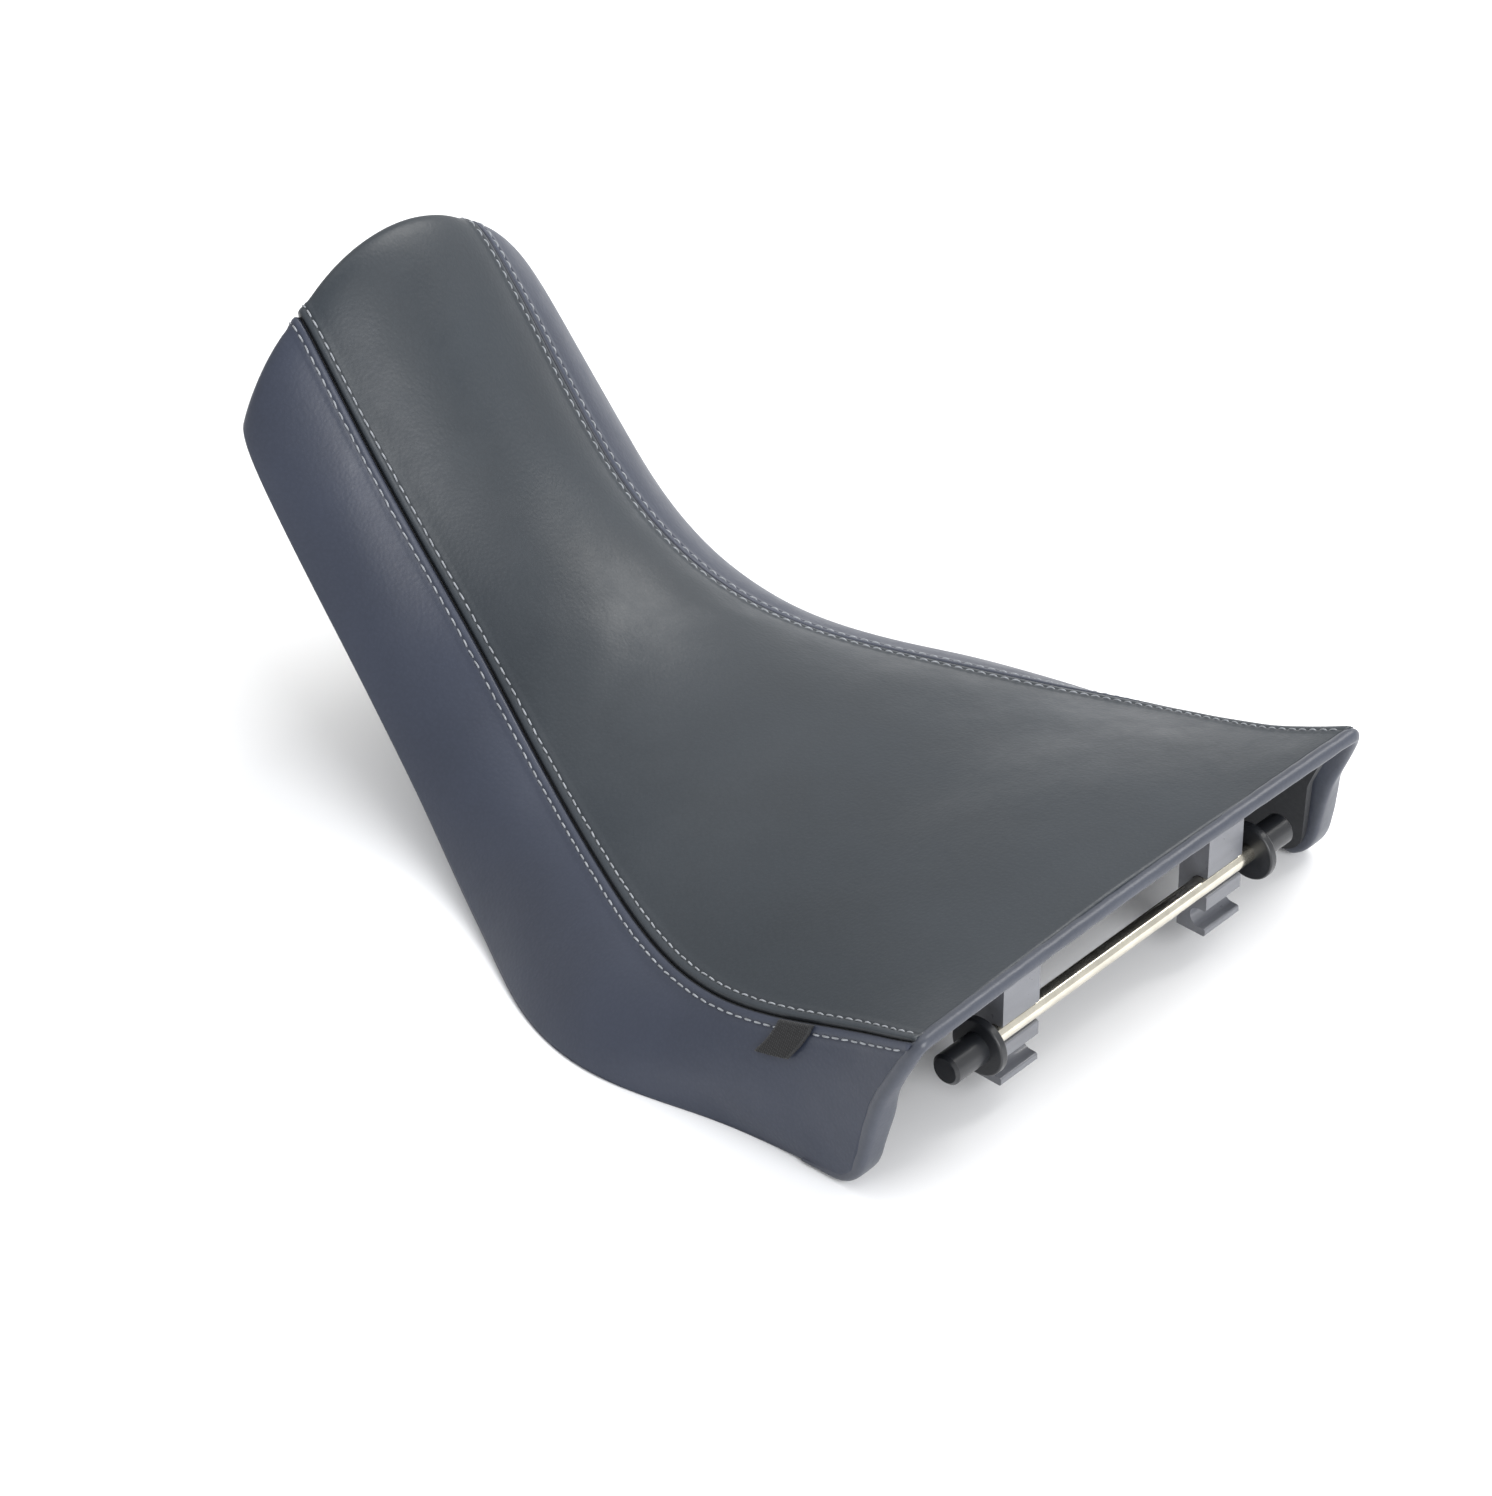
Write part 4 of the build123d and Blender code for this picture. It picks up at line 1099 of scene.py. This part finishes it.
class SEAT_OT_foam(bpy.types.Operator):
    """Moulds the foam cushion inside the cover"""
    bl_idname = "seat.foam"
    bl_label = "Foam cushion"

    def execute(self, context):
        sizes, colours = context.scene.seat_sizes, context.scene.seat_colours
        build_cover(sizes)
        piece = bpy.data.objects.new("foam_core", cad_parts["foam_cushion"].data.copy())
        context.scene.collection.objects.link(piece)
        remesh = piece.modifiers.new("remesh", "REMESH")
        remesh.mode = "VOXEL"
        remesh.voxel_size = sizes.foam_voxel
        relax = piece.modifiers.new("relax", "SMOOTH")
        relax.factor = 0.5
        relax.iterations = 2
        apply_modifiers(piece)
        keep_inside_solid(piece.data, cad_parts["foam_cushion"].data, 1.0 * MM)
        tuck_inside_cover(piece.data, 2.6 * MM)
        # Moulded polyurethane foam, cut from its mould: open cells with a dull, yellowed skin.
        piece.data.materials.clear()
        piece.data.materials.append(foam_material("moulded_foam", colours.foam))
        piece.data.polygons.foreach_set("use_smooth", [True] * len(piece.data.polygons))
        place_piece(piece, SEAT, "foam", "foam_cushion")
        return {"FINISHED"}


def keep_inside_solid(mesh, solid, gap):
    """Draws stray points back inside the cushion's solid by the gap, and in front of the rolled edge."""
    tree = BVHTree.FromPolygons([v.co for v in solid.vertices], [p.vertices[:] for p in solid.polygons])
    for vertex in mesh.vertices:
        near, normal, _, _ = tree.find_nearest(vertex.co)
        if (vertex.co - near).dot(normal) > -gap:
            vertex.co = near - normal * gap
        rim = np.interp(vertex.co.z, profile["edge_z"], profile["edge_x"])
        vertex.co.x = max(vertex.co.x, rim + FOAM_SETBACK)


def tuck_inside_cover(mesh, gap):
    """Moves a mesh's points so that all of them lie inside the cover by at least the gap."""
    vertices, faces, count = [], [], 0
    for key, flip in (("top", False), ("left", True), ("right", False)):
        grid = cover[key]["points"]
        vertices += grid.reshape(-1, 3).tolist()
        faces += (grid_faces(*grid.shape[:2], flip) + count).tolist()
        count += grid.shape[0] * grid.shape[1]
    tree = BVHTree.FromPolygons(vertices, faces)
    for vertex in mesh.vertices:
        near, normal, _, distance = tree.find_nearest(vertex.co, 0.02)
        if near is None:
            continue
        height = (vertex.co - near).dot(normal)
        if distance < 12 * MM and height > -gap:
            vertex.co = near - normal * gap


class SEAT_OT_finishes(bpy.types.Operator):
    """Gives every carried-over part of the frame its own finish"""
    bl_idname = "seat.finishes"
    bl_label = "Moulded and metal parts"

    def execute(self, context):
        colours = context.scene.seat_colours
        finishes = {
            # Talc-filled polypropylene, injection moulded: dull, with a spark-eroded texture.
            moulded_material("moulded_polypropylene_pan", colours.pan, 0.55, 1.6 * MM, 0.35): ["base_pan"],
            # Glass-filled nylon, moulded: dark plastic painted a satin mid grey, which stands in for the
            # soft light reflected off its faces, with a faint flow and paler rubbed spots.
            moulded_material("nylon_bracket_painted_reflection", colours.bracket_painted_reflection, 0.30, 1.0 * MM, 0.12, 0.5):
                ["left_rail_bracket", "right_rail_bracket"],
            # Black nylon, turned: satin with soft highlights round the flange.
            moulded_material("turned_nylon_bush", colours.bush, 0.34, 0.9 * MM, 0.15, 0.2):
                ["left_end_bush", "right_end_bush"],
            # Stainless rod, ground and polished: bright, warm streaks along its length.
            metal_material("polished_stainless_rod", colours.rod, 0.16, (1.0, 0.03, 1.0), 0.5, 0.10):
                ["rail_rod"],
            # Zinc-plated steel: pale, slightly blue, with dull smears.
            metal_material("zinc_plated_steel", colours.zinc, 0.3, (1.0, 1.0, 1.0), 0.0, 0.2):
                ["bracket_screws", "tongue_rivets", "cover_staples"],
            # Steel strip under an electro-dipped black coat: satin, rubbed grey at high spots.
            coated_material("black_dipped_steel", colours.coated): ["front_tongue"],
            # Moulded EPDM rubber: matt, bloomed grey in patches.
            rubber_material("moulded_rubber", colours.rubber): [
                "tongue_sleeve", "rear_left_bumper", "rear_right_bumper", "front_left_bumper",
                "front_right_bumper"],
        }
        for material, nodes in finishes.items():
            for name in nodes:
                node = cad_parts[name]
                node.data.materials.clear()
                node.data.materials.append(material)
        return {"FINISHED"}


class SEAT_OT_stage(bpy.types.Operator):
    """Sets up the pale floor, the soft light and the camera"""
    bl_idname = "seat.stage"
    bl_label = "Stage"

    def execute(self, context):
        scene, colours = context.scene, context.scene.seat_colours
        size = 9.0
        corners = [(-size, -size, 0), (size, -size, 0), (size, size, 0), (-size, size, 0)]
        floor = new_piece("studio_floor", corners,
                          [(0, 1, 2, 3)], floor_material("painted_floor", colours.floor), smooth=False)
        floor.location.z = -0.3 * MM
        lights = (
            ("key_softbox", (-0.4, -2.2, 2.6), 2.0, 74.0, (1.0, 0.985, 0.96)),
            ("top_softbox", (0.9, -0.2, 3.0), 2.6, 22.0, (0.97, 0.985, 1.0)),
            ("rear_softbox", (-2.6, 0.4, 1.3), 1.6, 62.0, (1.0, 1.0, 1.0)))
        for name, place, width, power, tint in lights:
            data = bpy.data.lights.new(name, "AREA")
            data.shape = "SQUARE"
            data.size = width
            data.energy = power
            data.color = tint
            lamp = bpy.data.objects.new(name, data)
            scene.collection.objects.link(lamp)
            lamp.location = place
            lamp.rotation_euler = (Vector((0, 0, 0.05)) - Vector(place)).to_track_quat("-Z", "Y").to_euler()
        world = bpy.data.worlds.new("studio_air")
        world.use_nodes = True
        world.node_tree.nodes["Background"].inputs["Color"].default_value = (1.0, 1.0, 1.0, 1)
        world.node_tree.nodes["Background"].inputs["Strength"].default_value = 0.85
        scene.world = world
        scene.view_settings.view_transform = "Standard"
        azimuth, elevation, distance = math.radians(221.9), math.radians(36.0), 2.914
        back = Vector((math.sin(azimuth) * math.cos(elevation), -math.cos(azimuth) * math.cos(elevation),
                       math.sin(elevation)))
        camera_data = bpy.data.cameras.new("camera")
        camera_data.lens = 144.4
        camera_data.sensor_width = 36.0
        camera = bpy.data.objects.new("camera", camera_data)
        scene.collection.objects.link(camera)
        camera.location = Vector((0.003, 0, 0.048)) + back * distance
        camera.rotation_mode = "QUATERNION"
        camera.rotation_quaternion = (-back).to_track_quat("-Z", "Y")
        scene.camera = camera
        return {"FINISHED"}


class SEAT_PT_build(bpy.types.Panel):
    """Lists the steps that build the seat's looks"""
    bl_idname = "SEAT_PT_build"
    bl_label = "Seat"
    bl_space_type = "VIEW_3D"
    bl_region_type = "UI"
    bl_category = "Seat"

    def draw(self, context):
        for step in STEPS:
            self.layout.operator(step.bl_idname)
        for name in SeatSizes.__annotations__:
            self.layout.prop(context.scene.seat_sizes, name)
        for name in SeatColours.__annotations__:
            self.layout.prop(context.scene.seat_colours, name)


STEPS = (SEAT_OT_stage, SEAT_OT_cover, SEAT_OT_stitching, SEAT_OT_binding, SEAT_OT_label, SEAT_OT_foam,
         SEAT_OT_finishes)
CLASSES = (SeatSizes, SeatColours, *STEPS, SEAT_PT_build)


def register():
    for item in CLASSES:
        bpy.utils.register_class(item)
    bpy.types.Scene.seat_sizes = PointerProperty(type=SeatSizes)
    bpy.types.Scene.seat_colours = PointerProperty(type=SeatColours)


def unregister():
    del bpy.types.Scene.seat_colours
    del bpy.types.Scene.seat_sizes
    for item in reversed(CLASSES):
        bpy.utils.unregister_class(item)


def main():
    register()
    for step in STEPS:
        group, name = step.bl_idname.split(".")
        getattr(getattr(bpy.ops, group), name)()


if __name__ == "__main__":
    main()
